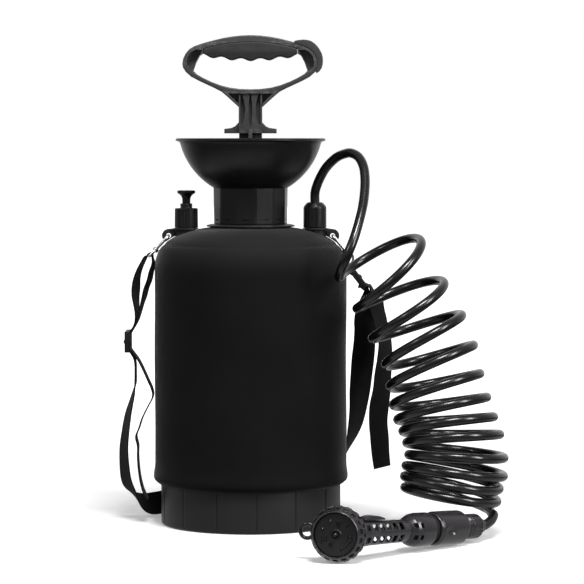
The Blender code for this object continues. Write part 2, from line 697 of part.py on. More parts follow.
def funnel():
    bore = NECK_RADIUS + SLIDE_GAP
    collar_bottom = FLANGE_TOP_Z + GAP
    collar_core = COLLAR_RADIUS - 3 * MM
    outer = bowl_arc(BOWL_RADIUS, COLLAR_RADIUS, BOWL_RIM_Z, BOWL_POINTS)
    inner = bowl_arc(BOWL_RADIUS - BOWL_WALL, SHELF_RADIUS, BOWL_RIM_Z, BOWL_POINTS)
    lip = BOWL_RADIUS + BOWL_LIP
    profile = [(outer[0][0], BOWL_RIM_Z + MM), (lip, BOWL_RIM_Z), (lip, BOWL_RIM_Z - BOWL_LIP),
               (outer[1][0] + 0.5 * MM, outer[1][1] + BOWL_LIP)]
    profile += outer[1:] + [(collar_core, SHELF_Z - SHELF_THICKNESS), (collar_core, collar_bottom),
                            (bore, collar_bottom), (bore, SHELF_Z - SHELF_THICKNESS),
                            (SHELF_HOLE_RADIUS, SHELF_Z - SHELF_THICKNESS), (SHELF_HOLE_RADIUS, SHELF_Z),
                            (SHELF_RADIUS, SHELF_Z)]
    profile += inner[::-1]
    bowl = turned("funnel_bowl", profile, STEPS_LARGE, closed=True)
    collar_top = outer[-1][1] - MM
    wall = [(COLLAR_RADIUS + COLLAR_FLARE, collar_top), (COLLAR_RADIUS, collar_bottom),
            (collar_core - MM, collar_bottom), (collar_core - MM, collar_top)]
    collar = turned("collar_panels", wall, COLLAR_SIDES, closed=True)
    collar.rotation_euler = (0, 0, radians(COLLAR_PHASE - 90))
    join(bowl, collar)
    first = COLLAR_PHASE - 90 + 180 / COLLAR_SIDES
    turns = [radians(first + 360 / COLLAR_SIDES * index) for index in range(COLLAR_SIDES)]
    face = COLLAR_RADIUS * cos(pi / COLLAR_SIDES)
    size = (2 * PANEL_SLOT_DEPTH, PANEL_SLOT_WIDTH, PANEL_SLOT_HEIGHT)
    cut(bowl, boxes("panel_slots", size, [(face, 0, PANEL_SLOT_Z)] * COLLAR_SIDES, turns=turns))
    finish(bowl, CHARCOAL, 0.3)
    top = SHELF_Z - SHELF_THICKNESS - GAP
    finish(ring("funnel_gasket", NECK_RADIUS, NECK_RADIUS - NECK_WALL, top, NECK_TOP_Z + GAP, STEPS_MEDIUM),
           BLACK, 0.8)


# Pump

CAP_BOTTOM_Z = SHELF_Z + GAP + GASKET_THICKNESS + GAP
CAP_TOP_Z = CAP_BOTTOM_Z + CAP_THICKNESS
BUSH_BORE = ROD_RADIUS + SLIDE_GAP
BUSH_RADIUS = BUSH_BORE + BUSH_WALL


def pump_cap():
    hole = BUSH_RADIUS + GAP
    profile = [(CAP_RADIUS - 1.5 * MM, CAP_TOP_Z), (CAP_RADIUS, CAP_TOP_Z - 1.5 * MM),
               (CAP_RADIUS, CAP_BOTTOM_Z), (hole, CAP_BOTTOM_Z), (hole, CAP_TOP_Z)]
    cap = turned("pump_cap", profile, STEPS_LARGE, closed=True)
    post_inner = WING_HALF_SPAN + 1.5 * MM
    top = CAP_TOP_Z + BUSH_LIP_THICKNESS + WING_THICKNESS + WING_LOCK_PLAY + CAP_TAB_WALL
    for side in (-1, 1):
        post = box("tab_post", (2 * CAP_TAB_HALF_WIDTH, CAP_TAB_WALL, top - CAP_TOP_Z + MM),
                   (0, side * (post_inner + CAP_TAB_WALL / 2), (CAP_TOP_Z + top - MM) / 2))
        join(cap, post)
        hook = box("tab_hook", (2 * CAP_TAB_HALF_WIDTH, CAP_TAB_HOOK + CAP_TAB_WALL, CAP_TAB_WALL),
                   (0, side * (post_inner + (CAP_TAB_WALL - CAP_TAB_HOOK) / 2), top - CAP_TAB_WALL / 2))
        join(cap, hook)
    finish(cap, CHARCOAL, 0.4)
    finish(ring("cap_gasket", CAP_RADIUS - MM, SHELF_HOLE_RADIUS, CAP_BOTTOM_Z - GAP, SHELF_Z + GAP,
                STEPS_MEDIUM), BLACK, 0.8)
    bush_bottom = CAP_BOTTOM_Z
    lip_bottom = CAP_TOP_Z + GAP
    lip_top = lip_bottom + BUSH_LIP_THICKNESS
    profile = [(BUSH_RADIUS + BUSH_LIP, lip_top), (BUSH_RADIUS + BUSH_LIP, lip_bottom),
               (BUSH_RADIUS, lip_bottom), (BUSH_RADIUS, bush_bottom), (BUSH_BORE, bush_bottom),
               (BUSH_BORE, lip_top)]
    finish(turned("rod_bush", profile, STEPS_MEDIUM, closed=True), SLATE, 0.4)


def pump_cylinder():
    top = CAP_BOTTOM_Z - GAP
    bore = CYLINDER_RADIUS - CYLINDER_WALL
    floor = CYLINDER_BOTTOM_Z + CYLINDER_WALL
    profile = [(bore, top), (CYLINDER_FLANGE_RADIUS, top), (CYLINDER_FLANGE_RADIUS, top - CYLINDER_FLANGE),
               (CYLINDER_RADIUS, top - CYLINDER_FLANGE), (CYLINDER_RADIUS, CYLINDER_BOTTOM_Z),
               (CYLINDER_VALVE_RADIUS, CYLINDER_BOTTOM_Z), (CYLINDER_VALVE_RADIUS, floor), (bore, floor)]
    finish(turned("pump_cylinder", profile, STEPS_MEDIUM, closed=True), SLATE, 0.4)
    flap_top = CYLINDER_BOTTOM_Z - GAP
    finish(rod("check_flap", FLAP_RADIUS, flap_top, flap_top - FLAP_THICKNESS, STEPS_SMALL), BLACK, 0.8)


def pump_rod():
    """Cross-ribbed rod with discs, lock wings and the column that carries the handle."""
    half = ROD_WEB / 2
    reach = sqrt(ROD_RADIUS ** 2 - half ** 2)
    wing_bottom = WING_Z - WING_THICKNESS / 2
    quarter = [(reach, -half), (reach, half), (half, half)]
    outline = []
    for turn in range(4):
        for across, up in quarter:
            outline.append((across * cos(turn * pi / 2) - up * sin(turn * pi / 2),
                            across * sin(turn * pi / 2) + up * cos(turn * pi / 2)))
    length = wing_bottom - ROD_BOTTOM_Z
    centre = (0, 0, ROD_BOTTOM_Z + MM + length / 2)
    shaft = plate("pump_rod", [outline], length, location=centre, facing_y=False)
    discs = int((wing_bottom - ROD_BOTTOM_Z) / ROD_DISC_PITCH)
    for index in range(discs + 1):
        bottom = ROD_BOTTOM_Z + index * ROD_DISC_PITCH
        join(shaft, rod("rod_disc", ROD_DISC_RADIUS, bottom + ROD_DISC_THICKNESS, bottom, STEPS_TINY))
    column = box("rod_column", (2 * ROD_RADIUS, COLUMN_DEPTH, COLUMN_TOP_Z - wing_bottom),
                 (0, 0, (COLUMN_TOP_Z + wing_bottom) / 2))
    join(shaft, column)
    slope = 7 * MM
    wing_top = wing_bottom + WING_THICKNESS
    wing = [(-WING_HALF_SPAN, wing_bottom), (WING_HALF_SPAN, wing_bottom),
            (WING_HALF_SPAN, wing_top - 2 * MM),
            (ROD_RADIUS + slope, wing_top), (ROD_RADIUS - MM, wing_top + slope),
            (MM - ROD_RADIUS, wing_top + slope), (-ROD_RADIUS - slope, wing_top),
            (-WING_HALF_SPAN, wing_top - 2 * MM)]
    join(shaft, plate("lock_wings", [wing], WING_DEPTH))
    pocket_height = COLUMN_TOP_Z - wing_top - 2 * COLUMN_RIB
    pocket_width = (2 * ROD_RADIUS - 4 * COLUMN_RIB) / 3
    centres = []
    for column_index in (-1, 0, 1):
        for side in (-1, 1):
            centres.append((column_index * (pocket_width + COLUMN_RIB), side * COLUMN_DEPTH / 2,
                            wing_top + COLUMN_RIB + pocket_height / 2))
    cut(shaft, boxes("column_pockets", (pocket_width, COLUMN_POCKET, pocket_height), centres))
    finish(shaft, CHARCOAL, 0.4)
    piston_top = ROD_BOTTOM_Z - GAP
    piston_bottom = piston_top - PISTON_HEIGHT
    groove_top = piston_top - (PISTON_HEIGHT - CUP_HEIGHT) / 2 + GAP
    groove_bottom = groove_top - CUP_HEIGHT - 2 * GAP
    core = PISTON_RADIUS - CUP_DEPTH - GAP
    profile = [(0, piston_top), (PISTON_RADIUS, piston_top), (PISTON_RADIUS, groove_top), (core, groove_top),
               (core, groove_bottom), (PISTON_RADIUS, groove_bottom), (PISTON_RADIUS, piston_bottom),
               (0, piston_bottom)]
    finish(turned("piston", profile, STEPS_MEDIUM), SLATE, 0.4)
    finish(ring("piston_cup", PISTON_RADIUS, PISTON_RADIUS - CUP_DEPTH, groove_top - GAP,
                groove_bottom + GAP, STEPS_MEDIUM), BLACK, 0.7)


# Handle

HANDLE_OUTER = [(0, 523.5), (20, 522), (38, 518.5), (54, 514), (64, 510), (70, 503), (72.5, 493),
                (70.5, 486), (63.5, 479), (47, 471.3), (31, 463.5), (12.8, 447.3)]
HANDLE_OPENING = [(48, 505), (54, 502), (58, 496), (61, 485.5), (57, 482),
                  (42, 474), (22, 467.5), (0, 466)]
HANDLE_GUSSET = [(24, 461.5), (12, 450.5)]


def mirrored(points):
    """Both halves of an outline given in millimetres from the top centre to the bottom centre."""
    right = [(across * MM, up * MM) for across, up in points]
    left = [(-across, up) for across, up in reversed(right) if across > 0]
    return right + left


def grip_outline(clearance):
    """Under the top bar: an arched top edge and a row of finger bumps below."""
    half = GRIP_HALF_WIDTH + clearance
    steps = np.linspace(-1, 1, 9)
    top = [(share * half, GRIP_TOP_Z + clearance - GRIP_SAG * share ** 2) for share in steps]
    count = 6 * FINGER_COUNT
    bottom = []
    for index in range(count + 1):
        across = half * (1 - 2 * index / count)
        wave = abs(cos(pi * across / FINGER_PITCH))
        bottom.append((across, FINGER_Z - clearance - FINGER_DEPTH * wave))
    return top + bottom


def handle():
    frame = plate("handle_frame", [mirrored(HANDLE_OUTER), mirrored(HANDLE_OPENING)], HANDLE_DEPTH)
    recess = plate("grip_seat", [grip_outline(GAP)], 2 * HANDLE_DEPTH)
    cut(frame, recess)
    finish(frame, CHARCOAL, 0.35)
    pocket_depth = (HANDLE_DEPTH - HANDLE_WEB) / 2
    for side in (-1, 1):
        place = (0, side * (HANDLE_WEB + pocket_depth) / 2 + side * MM / 2, 0)
        cut(frame, plate("gusset_pocket", [mirrored(HANDLE_GUSSET)], pocket_depth + MM, location=place))
    finish(plate("handle_grip", [grip_outline(0)], HANDLE_DEPTH + 2 * GRIP_PROUD), SLATE, 0.6)
    corner = [(54, 514), (64, 510), (70, 503), (72.5, 493), (70.5, 486)]
    outside = [(57, 519), (67, 515.5), (74.5, 508), (78, 496), (75.5, 484.5)]
    inside = [(across + 0.35, up + 0.35) for across, up in corner]
    outline = [(across * MM, up * MM) for across, up in outside + inside[::-1]]
    finish(plate("handle_clip", [outline], CLIP_DEPTH), CHARCOAL, 0.35)


# Hooks, sliders and webbing

def hook_points(pairs):
    """Points of a hook in its own frame, from (across, distance below the lug's hole)."""
    return [(0, across, -down) for across, down in pairs]


def snap_hook(side_name, side, tilt):
    place = (side * (LUG_HOLE_X + HOOK_HANG), 0, LUG_HOLE_Z - HOOK_HANG)
    frame = add_frame("hook_frame_" + side_name, place, (0, radians(tilt), 0))
    half = HOOK_HALF_WIDTH
    bend = HOOK_BEND
    shoulder = [(-half + bend + bend * cos(angle), bend - bend * sin(angle))
                for angle in np.linspace(pi, pi / 2, 4)]
    wire = [(-half, HOOK_EYE_TOP)] + shoulder + [(-across, down) for across, down in shoulder[::-1]]
    wire += [(half, HOOK_NOSE_END)]
    hook = solid(tube("snap_hook_" + side_name, hook_points(wire), HOOK_WIRE_RADIUS, 1, frame=frame))
    corner = 3 * MM
    wide = HOOK_EYE_HALF_WIDTH
    eye = [(-wide, HOOK_EYE_TOP + corner), (corner - wide, HOOK_EYE_TOP), (wide - corner, HOOK_EYE_TOP),
           (wide, HOOK_EYE_TOP + corner), (wide, HOOK_EYE_BAR - MM), (wide - MM, HOOK_EYE_BAR),
           (MM - wide, HOOK_EYE_BAR), (-wide, HOOK_EYE_BAR - MM)]
    join(hook, solid(tube("hook_eye", hook_points(eye), HOOK_EYE_RADIUS, 1, True, frame)))
    stump = [(half, HOOK_EYE_TOP), (half, HOOK_GATE_HINGE + GATE_RADIUS + GATE_SWING_GAP)]
    join(hook, solid(tube("hook_stump", hook_points(stump), HOOK_WIRE_RADIUS, 1, frame=frame)))
    finish(hook, SILVER, 0.25, 1.0)
    gate_place = (0, half, -HOOK_GATE_HINGE)
    gate_top = HOOK_GATE_HINGE - HOOK_NOSE_END - GAP
    gate = tube("hook_gate_" + side_name, [(0, 0, gate_top), (0, 0, -GATE_RADIUS)], GATE_RADIUS,
                frame=frame)
    gate.location = gate_place
    finish(gate, SILVER, 0.25, 1.0)


def slider(name, centre, tilt, side):
    """Three-bar slider: the webbing passes inside the end bars and outside the middle bar."""
    frame = add_frame(name + "_frame", centre, (0, radians(tilt), 0))
    half_width = WEB_WIDTH / 2 + SLIDER_SIDE_CLEARANCE
    reach = SLIDER_BAR_PITCH + SLIDER_BAR_RADIUS
    centres = [(side * SLIDER_BAR_SET / 2, edge * (half_width + SLIDER_PLATE / 2), 0) for edge in (-1, 1)]
    body = box(name, (SLIDER_PLATE_DEPTH, SLIDER_PLATE, 2 * reach), centres[0], frame)
    join(body, box("slider_plate", (SLIDER_PLATE_DEPTH, SLIDER_PLATE, 2 * reach), centres[1], frame))
    length = half_width + SLIDER_PLATE / 2
    for index in (-1, 0, 1):
        offset = side * SLIDER_BAR_SET if index else 0
        bar = rod("slider_bar", SLIDER_BAR_RADIUS, length, -length, STEPS_TINY, frame=frame,
                  location=(offset, 0, index * SLIDER_BAR_PITCH))
        bar.rotation_euler = (pi / 2, 0, 0)
        join(body, bar)
    finish(body, BLACK, 0.4)


# Webbing stations in millimetres: (x, y, z) and the direction of the width (x, y, z)
ALONG_Y = (0, 1, 0)


def stations(rows):
    return [[x * MM, y * MM, z * MM, *width] for (x, y, z), width in rows]


def bar_wrap(side, tilt):
    """Webbing over the hook's eye bar, from its outer side to its inner side."""
    hole_x = side * (LUG_HOLE_X + HOOK_HANG) / MM
    hole_z = (LUG_HOLE_Z - HOOK_HANG) / MM
    bar_x = hole_x - HOOK_EYE_BAR / MM * sin(radians(tilt))
    bar_z = hole_z - HOOK_EYE_BAR / MM * cos(radians(tilt))
    radius = (HOOK_EYE_RADIUS + GAP + WEB_THICKNESS / 2) / MM
    rows = []
    for angle in np.linspace(-10, 190, 9):
        turn = radians(angle)
        rows.append(((bar_x + side * radius * cos(turn), 0, bar_z + radius * sin(turn)), ALONG_Y))
    return rows


def slider_run(centre, tilt, side, strand):
    """Webbing through a slider, top to bottom; strand 0 lies on the bars, strand 1 outside it."""
    inner = [(3.0, 10), (0.7, 6), (-1.7, 3), (-2.7, 0), (-1.7, -3), (0.7, -6), (3.0, -10)]
    outer = [(1.1, 10), (-1.0, 5), (-3.5, 2.2), (-4.6, 0), (-3.5, -2.2), (-1.0, -5), (1.1, -10)]
    rows = []
    turn = radians(tilt)
    for inward, up in (outer if strand else inner):
        across = -side * inward
        rows.append(((centre[0] / MM + across * cos(turn) + up * sin(turn), 0,
                      centre[2] / MM - across * sin(turn) + up * cos(turn)), ALONG_Y))
    return rows


def strap_left():
    slot = strap_slot_centre(-1) / MM
    inward = Vector((cos(radians(SLOT_ANGLE)), -sin(radians(SLOT_ANGLE)), 0))
    main_top = [((-111.5, 0, 287), ALONG_Y), ((-114.8, 0, 282), ALONG_Y), ((-119.2, 0, 274), ALONG_Y),
                ((-123, 0, 261.7), ALONG_Y), ((-124, 0, 247), ALONG_Y), ((-122.8, 0, 229), ALONG_Y),
                ((-124.2, 0, 217), ALONG_Y)]
    main_low = [((-125.6, 0, 179), ALONG_Y), ((-123.8, 0, 170), ALONG_Y), ((-123.5, 0, 159), ALONG_Y),
                ((-124.2, 1, 148), ALONG_Y), ((-129, 3, 132), (-0.16, 0.99, 0)),
                ((-134, 6, 110), (-0.28, 0.96, 0)), ((-136.8, 9, 88), (-0.33, 0.94, 0)),
                ((-138.1, 14, 66), (-0.42, 0.91, 0)), ((-137.4, 18, 52), (-0.48, 0.87, 0.1)),
                ((-135.5, 22, 42), (-0.52, 0.83, 0.2)), ((-131, 28, 30), (-0.5, 0.78, 0.38)),
                ((-123.7, 34, 21), (-0.42, 0.72, 0.55)), ((-113, 42, 17), (-0.3, 0.55, 0.78)),
                ((-102, 50, 16.5), (-0.15, 0.25, 0.96)), ((-93, 56, 16.5), (0, 0, 1)),
                ((-85, 57, 16.5), (0, 0, 1)),
                ((slot.x, slot.y, slot.z), (0, 0, 1)), (tuple(slot + inward * 8), (0, 0, 1))]
    tail_top = [((-105, 0, 284.5), ALONG_Y), ((-104.9, 0, 279), ALONG_Y), ((-107.4, 0, 270), ALONG_Y),
                ((-112, 0, 254), ALONG_Y), ((-117.4, 0, 235), ALONG_Y), ((-121.7, 0, 217), ALONG_Y)]
    tail_low = [((-123, 0, 179.5), ALONG_Y), ((-119.7, 0, 174.5), ALONG_Y), ((-114.9, 0, 164.7), ALONG_Y),
                ((-110.1, 0, 153.9), ALONG_Y), ((-106.6, 0, 146), ALONG_Y), ((-105, 0, 139), ALONG_Y),
                ((-106.3, 0, 133.5), ALONG_Y), ((-109, 0, 128.5), ALONG_Y), ((-113, 0, 121), ALONG_Y),
                ((-117.2, 0, 111.8), ALONG_Y), ((-120.3, 0, 102), ALONG_Y), ((-123.4, 0, 93.5), ALONG_Y),
                ((-121.4, 0, 83.5), ALONG_Y), ((-121.5, 0, 72), ALONG_Y), ((-120.6, 0, 58.7), ALONG_Y),
                ((-118.7, 0, 45.7), ALONG_Y), ((-115.8, 0, 34.8), ALONG_Y), ((-111.2, 0, 25.1), ALONG_Y)]
    rows = main_low[::-1] + slider_run(SLIDER_LEFT, 0, -1, 1)[::-1] + main_top[::-1]
    rows += bar_wrap(-1, HOOK_TILT_LEFT)
    rows += tail_top + slider_run(SLIDER_LEFT, 0, -1, 0) + tail_low
    finish(ribbon("strap_left", stations(rows), WEB_WIDTH, WEB_THICKNESS), BLACK, 0.85)


def strap_right():
    slot = strap_slot_centre(1) / MM
    inward = Vector((-cos(radians(SLOT_ANGLE)), -sin(radians(SLOT_ANGLE)), 0))
    tail_top = [((110, 0, 284), ALONG_Y), ((108.8, 0, 280), ALONG_Y), ((107.2, 0, 275.5), ALONG_Y)]
    tail_low = [((116.3, 0, 248.5), ALONG_Y), ((119, 0, 243.5), ALONG_Y),
                ((127, 1, 236), (0.05, 1, 0)), ((135, 4, 228), (0.3, 0.95, 0)),
                ((141, 7, 214), (0.6, 0.8, 0)), ((144.7, 8, 190), (0.9, 0.43, 0)),
                ((143.5, 8, 165), (1, 0.2, 0)), ((140.5, 8, 147), (1, 0.1, 0)),
                ((138.4, 8, 124), (1, 0.05, 0)), ((139, 8, 99), (1, 0.05, 0)),
                ((140.6, 8, 72), (1, 0.05, 0)), ((143.4, 8, 57), (1, 0.05, 0))]
    main_top = [((104.8, 0, 283.5), ALONG_Y), ((104.5, 0, 279.5), ALONG_Y), ((105, 0, 274.5), ALONG_Y)]
    main_low = [((114.5, 0, 247.8), ALONG_Y), ((115.6, 1, 244), ALONG_Y),
                ((118, 7, 237), (0.4, 0.92, 0)), ((120.8, 16, 227), (0.7, 0.7, 0)),
                ((122.5, 26, 214), (0.95, 0.3, 0)), ((122.2, 34, 195), (1, 0.12, 0)),
                ((121.1, 41, 172), (1, 0.1, 0)), ((119.4, 48, 144), (1, 0.1, 0)),
                ((117.3, 53, 127), (1, 0.1, 0)), ((114.8, 58, 105), (0.98, 0.15, -0.1)),
                ((112, 63, 86), (0.9, 0.2, -0.3)), ((108, 66, 68), (0.75, 0.2, -0.6)),
                ((104, 67, 48), (0.55, 0.2, -0.8)), ((101, 66, 32), (0.3, 0.1, -0.95)),
                ((97, 63, 21), (0.1, 0, -1)), ((90, 59, 16.5), (0, 0, -1)),
                ((slot.x, slot.y, slot.z), (0, 0, -1)), (tuple(slot + inward * 8), (0, 0, -1))]
    run = -SLIDER_RIGHT_TILT
    rows = main_low[::-1] + slider_run(SLIDER_RIGHT, run, 1, 0)[::-1] + main_top[::-1]
    rows += bar_wrap(1, HOOK_TILT_RIGHT)[::-1]
    rows += tail_top + slider_run(SLIDER_RIGHT, run, 1, 1) + tail_low
    finish(ribbon("strap_right", stations(rows), WEB_WIDTH, WEB_THICKNESS), BLACK, 0.85)


# Hose

# Coil centre line stations in millimetres and degrees:
# turn, x, y, z, lean to the right, tip of the front, mean radius
COIL_STATIONS = [(-0.5, 130.3, -84, 300.2, 40, -5, 46), (1, 161.5, -88, 242, 28, -1, 46.4),
                 (2.5, 185.3, -91, 196, 23, 8, 47), (4, 194.2, -94, 157, 14.5, 10, 47.6),
                 (5.5, 202.8, -96, 127.2, 7.5, 9, 48.5), (7, 211.5, -98, 104.5, 1.4, 9, 49.2),
                 (8.5, 216, -99, 77.5, -8, 5, 50.2), (10, 211, -100, 58.4, -10.3, 1, 50),
                 (11, 210, -100, 46.3, -12, 1, 49), (12, 207, -99, 34, -12.5, 0, 46)]


def coil_station(turn):
    """Centre, lean, tip and radius of the coil at a turn, by a smooth curve through the stations."""
    rows = np.array(COIL_STATIONS, dtype=float)
    last = len(rows) - 1
    index = min(int(np.searchsorted(rows[:, 0], turn, side="right")) - 1, last - 1)
    start = rows[index]
    end = rows[index + 1]
    span = end[0] - start[0]
    share = (turn - start[0]) / span
    before = rows[index - 1] if index > 0 else start
    after = rows[index + 2] if index < last - 1 else end
    slope_start = (end - before)[1:] / (end - before)[0]
    slope_end = (after - start)[1:] / (after - start)[0]
    return ((2 * share ** 3 - 3 * share ** 2 + 1) * start[1:] + (share ** 3 - 2 * share ** 2 + share) * span
            * slope_start + (3 * share ** 2 - 2 * share ** 3) * end[1:] + (share ** 3 - share ** 2) * span
            * slope_end)


def coil_point(turn):
    """A point on the hose's centre line: the right end at whole turns, the front a quarter later."""
    x, y, z, lean, tip, radius = (float(value) for value in coil_station(turn))
    lean = radians(lean)
    tip = radians(tip)
    to_right = Vector((cos(lean), 0, sin(lean)))
    to_front = Vector((-sin(lean) * sin(tip), -cos(tip), cos(lean) * sin(tip)))
    angle = 2 * pi * turn
    return (Vector((x, y, z)) + radius * (to_right * cos(angle) + to_front * sin(angle))) * MM


def coil_path():
    count = int((COIL_TURNS + 0.5) * COIL_POINTS_PER_TURN)
    points = [coil_point(-0.5 + index / COIL_POINTS_PER_TURN) for index in range(count + 1)]
    straight = 2 * HOSE_RADIUS
    points.insert(0, points[0] + (points[0] - points[1]).normalized() * straight)
    points.append(points[-1] + (points[-1] - points[-2]).normalized() * straight)
    return points


def least_gap(points):
    """The least distance between surfaces of turns that lie next to each other."""
    path = np.array(points)
    apart = COIL_POINTS_PER_TURN // 2
    least = 1.0
    for index in range(len(path) - apart):
        distances = np.linalg.norm(path[index + apart:] - path[index], axis=1)
        least = min(least, float(distances.min()))
    return least - 2 * HOSE_RADIUS


def hose():
    coil = coil_path()
    print("least gap of the coil to itself: %.2f mm" % (least_gap(coil) / MM))
    finish(tube("hose_coil", coil, HOSE_RADIUS, 1), BLACK, 0.15)
    enter = (coil[1] - coil[0]).normalized()
    lead_end = coil[0] - enter * GAP
    lead = [(69, 0, 345.3), (69, 0, 355), (71, -2, 363), (75.5, -6, 373.5), (82, -12, 384),
            (92, -20, 393.5), (101, -28, 397.5), (107.5, -35, 398), (115, -44, 393.5), (119.7, -55, 383.5),
            (121, -66, 370.3), (120.2, -77, 357), (118.4, -87, 344.8), (115.7, -96, 333.7),
            (111.5, -106, 319.3), (106.8, -113.5, 306), (101.8, -116.5, 294), (97.5, -114, 283.5),
            (94.8, -107.5, 276)]
    lead = [(x * MM, y * MM, z * MM) for x, y, z in lead]
    lead += [tuple(lead_end - enter * 5 * MM), tuple(lead_end)]
    finish(tube("hose_lead", smooth_stations(lead, HOSE_STEP), HOSE_RADIUS), BLACK, 0.15)
    leave = (coil[-1] - coil[-2]).normalized()
    axis = Vector(GUN_DIRECTION).normalized()
    nut_end = Vector(GUN_POINT) + axis * (HOSE_NUT_END + GAP)
    start = coil[-1] + leave * GAP
    tail = [start, start + leave * 4 * MM, Vector((250.5, -122.5, 18.8)) * MM,
            nut_end + axis * 5 * MM, nut_end]
    tail = smooth_stations([tuple(point) for point in tail], 6 * MM)
    finish(tube("hose_tail", tail, HOSE_RADIUS), BLACK, 0.15)


# Connector and spray gun

def gun_frames():
    axis = Vector(GUN_DIRECTION).normalized()
    upward = (Vector((0, 0, 1)) - axis * axis.z).normalized()
    sideways = upward.cross(axis)
    turn = Matrix((sideways, upward, axis)).transposed().to_euler()
    gun = add_frame("gun_frame", GUN_POINT, turn)
    head = add_frame("head_frame", (0, 0, HEAD_U), (0, radians(HEAD_TURN), 0), gun)
    return gun, head


def connector(gun):
    start = INLET_RING_END + GAP
    bore = CONNECTOR_BORE_RADIUS
    collar = CONNECTOR_COLLAR_RADIUS
    profile = [(bore, CONNECTOR_END), (collar, CONNECTOR_END), (collar, CONNECTOR_COLLAR_START),
               (CONNECTOR_TUBE_RADIUS, CONNECTOR_COLLAR_START), (CONNECTOR_TUBE_RADIUS, start),
               (bore, start)]
    finish(turned("connector_body", profile, STEPS_SMALL, True, gun), SLATE, 0.4)
    slim = CONNECTOR_TUBE_RADIUS + SLIDE_GAP
    wide = collar + SLIDE_GAP
    edge = 1.5 * MM
    stop = CONNECTOR_COLLAR_START - 6.5 * MM
    profile = [(wide, CONNECTOR_SLEEVE_END), (CONNECTOR_RADIUS - edge, CONNECTOR_SLEEVE_END),
               (CONNECTOR_RADIUS, CONNECTOR_SLEEVE_END - edge), (CONNECTOR_RADIUS, start + edge),
               (CONNECTOR_RADIUS - edge, start), (slim, start), (slim, stop), (wide, stop)]
    sleeve = turned("connector_sleeve", profile, STEPS_MEDIUM, True, gun)
    recess = bpy.data.meshes.new("thumb_recess")
    shape = bmesh.new()
    place = Matrix.Translation((-CONNECTOR_RADIUS - 3 * MM, 0, 1.5 * MM)) @ Matrix.Diagonal((5, 8, 11, 1))
    bmesh.ops.create_uvsphere(shape, u_segments=16, v_segments=8, radius=MM, matrix=place)
    shape.to_mesh(recess)
    shape.free()
    cut(sleeve, add_object("thumb_recess", recess, gun))
    finish(sleeve, SLATE, 0.4)
    nut_start = CONNECTOR_END + GAP
    profile = [(0, HOSE_NUT_END), (HOSE_NECK_RADIUS, HOSE_NUT_END),
               (HOSE_NECK_RADIUS, HOSE_NUT_SHOULDER + 3 * MM), (HOSE_NUT_RADIUS - MM, HOSE_NUT_SHOULDER),
               (HOSE_NUT_RADIUS, HOSE_NUT_SHOULDER - 2 * MM),
               (HOSE_NUT_RADIUS, nut_start), (0, nut_start)]
    nut = turned("hose_nut", profile, STEPS_SMALL, False, gun)
    ribbed(nut, HOSE_NUT_RADIUS, HOSE_NUT_SHOULDER - 3 * MM, nut_start - MM, 12, (0, 0, 0), frame=gun)
    finish(nut, SLATE, 0.35)


def gun_body(gun):
    """Inlet collar with its nipple, slotted handle tube and the water tube inside it."""
    start = HANDLE_TUBE_END
    curve = 5 * MM
    bore = NIPPLE_RADIUS - 2 * MM
    profile = [(bore, NIPPLE_END), (NIPPLE_RADIUS, NIPPLE_END), (NIPPLE_RADIUS, INLET_END),
               (INLET_RADIUS, INLET_END), (INLET_RADIUS, start + 2 * curve),
               (INLET_RADIUS - 1.5 * MM, start + curve), (INLET_RADIUS - curve, start + GAP),
               (bore, start + GAP)]
    inlet = turned("gun_inlet", profile, STEPS_MEDIUM, True, gun)
    finish(inlet, SLATE, 0.4)
    finish(ring("inlet_ring", INLET_RADIUS - MM, NIPPLE_RADIUS + GAP, INLET_RING_END, INLET_END + GAP,
                STEPS_MEDIUM, gun), BLACK, 0.6)
    wall = HANDLE_TUBE_WALL
    profile = [(HANDLE_TUBE_RADIUS_INLET, HANDLE_TUBE_END), (HANDLE_TUBE_RADIUS_HEAD, HANDLE_TUBE_START),
               (HANDLE_TUBE_RADIUS_HEAD - wall, HANDLE_TUBE_START),
               (HANDLE_TUBE_RADIUS_INLET - wall, HANDLE_TUBE_END)]
    grip = turned("gun_handle", profile, STEPS_TINY, True, gun)
    first = (HANDLE_TUBE_START + HANDLE_TUBE_END) / 2 - WINDOW_PITCH * (WINDOW_COUNT - 1) / 2
    centres = []
    for index in range(WINDOW_COUNT):
        for level in (-WINDOW_OFFSET, WINDOW_OFFSET):
            centres.append((0, level, first + index * WINDOW_PITCH))
    size = (4 * HANDLE_TUBE_RADIUS_HEAD, WINDOW_HEIGHT, WINDOW_LENGTH)
    cut(grip, boxes("handle_windows", size, centres, gun))
    finish(grip, SLATE, 0.4)
    finish(ring("water_tube", WATER_TUBE_RADIUS, WATER_BORE_RADIUS, HANDLE_TUBE_END, HANDLE_TUBE_START,
                STEPS_TINY, gun), BLACK, 0.5)


def thumb_lever(gun):
    """A lens-shaped lever along the top of the handle."""
    pivot = (0, HANDLE_TUBE_RADIUS_HEAD + LEVER_GAP, LEVER_END)
    frame = add_frame("lever_frame", pivot, (0, -pi / 2, 0), gun)
    count = 8
    top = []
    for index in range(count + 1):
        share = index / count
        top.append((-share * LEVER_LENGTH, LEVER_EDGE + LEVER_CROWN * sin(pi * share)))
    lever = plate("thumb_lever", [top + [(-LEVER_LENGTH, 0), (0, 0)]], LEVER_WIDTH, frame, facing_y=False)
    finish(lever, SLATE, 0.4)


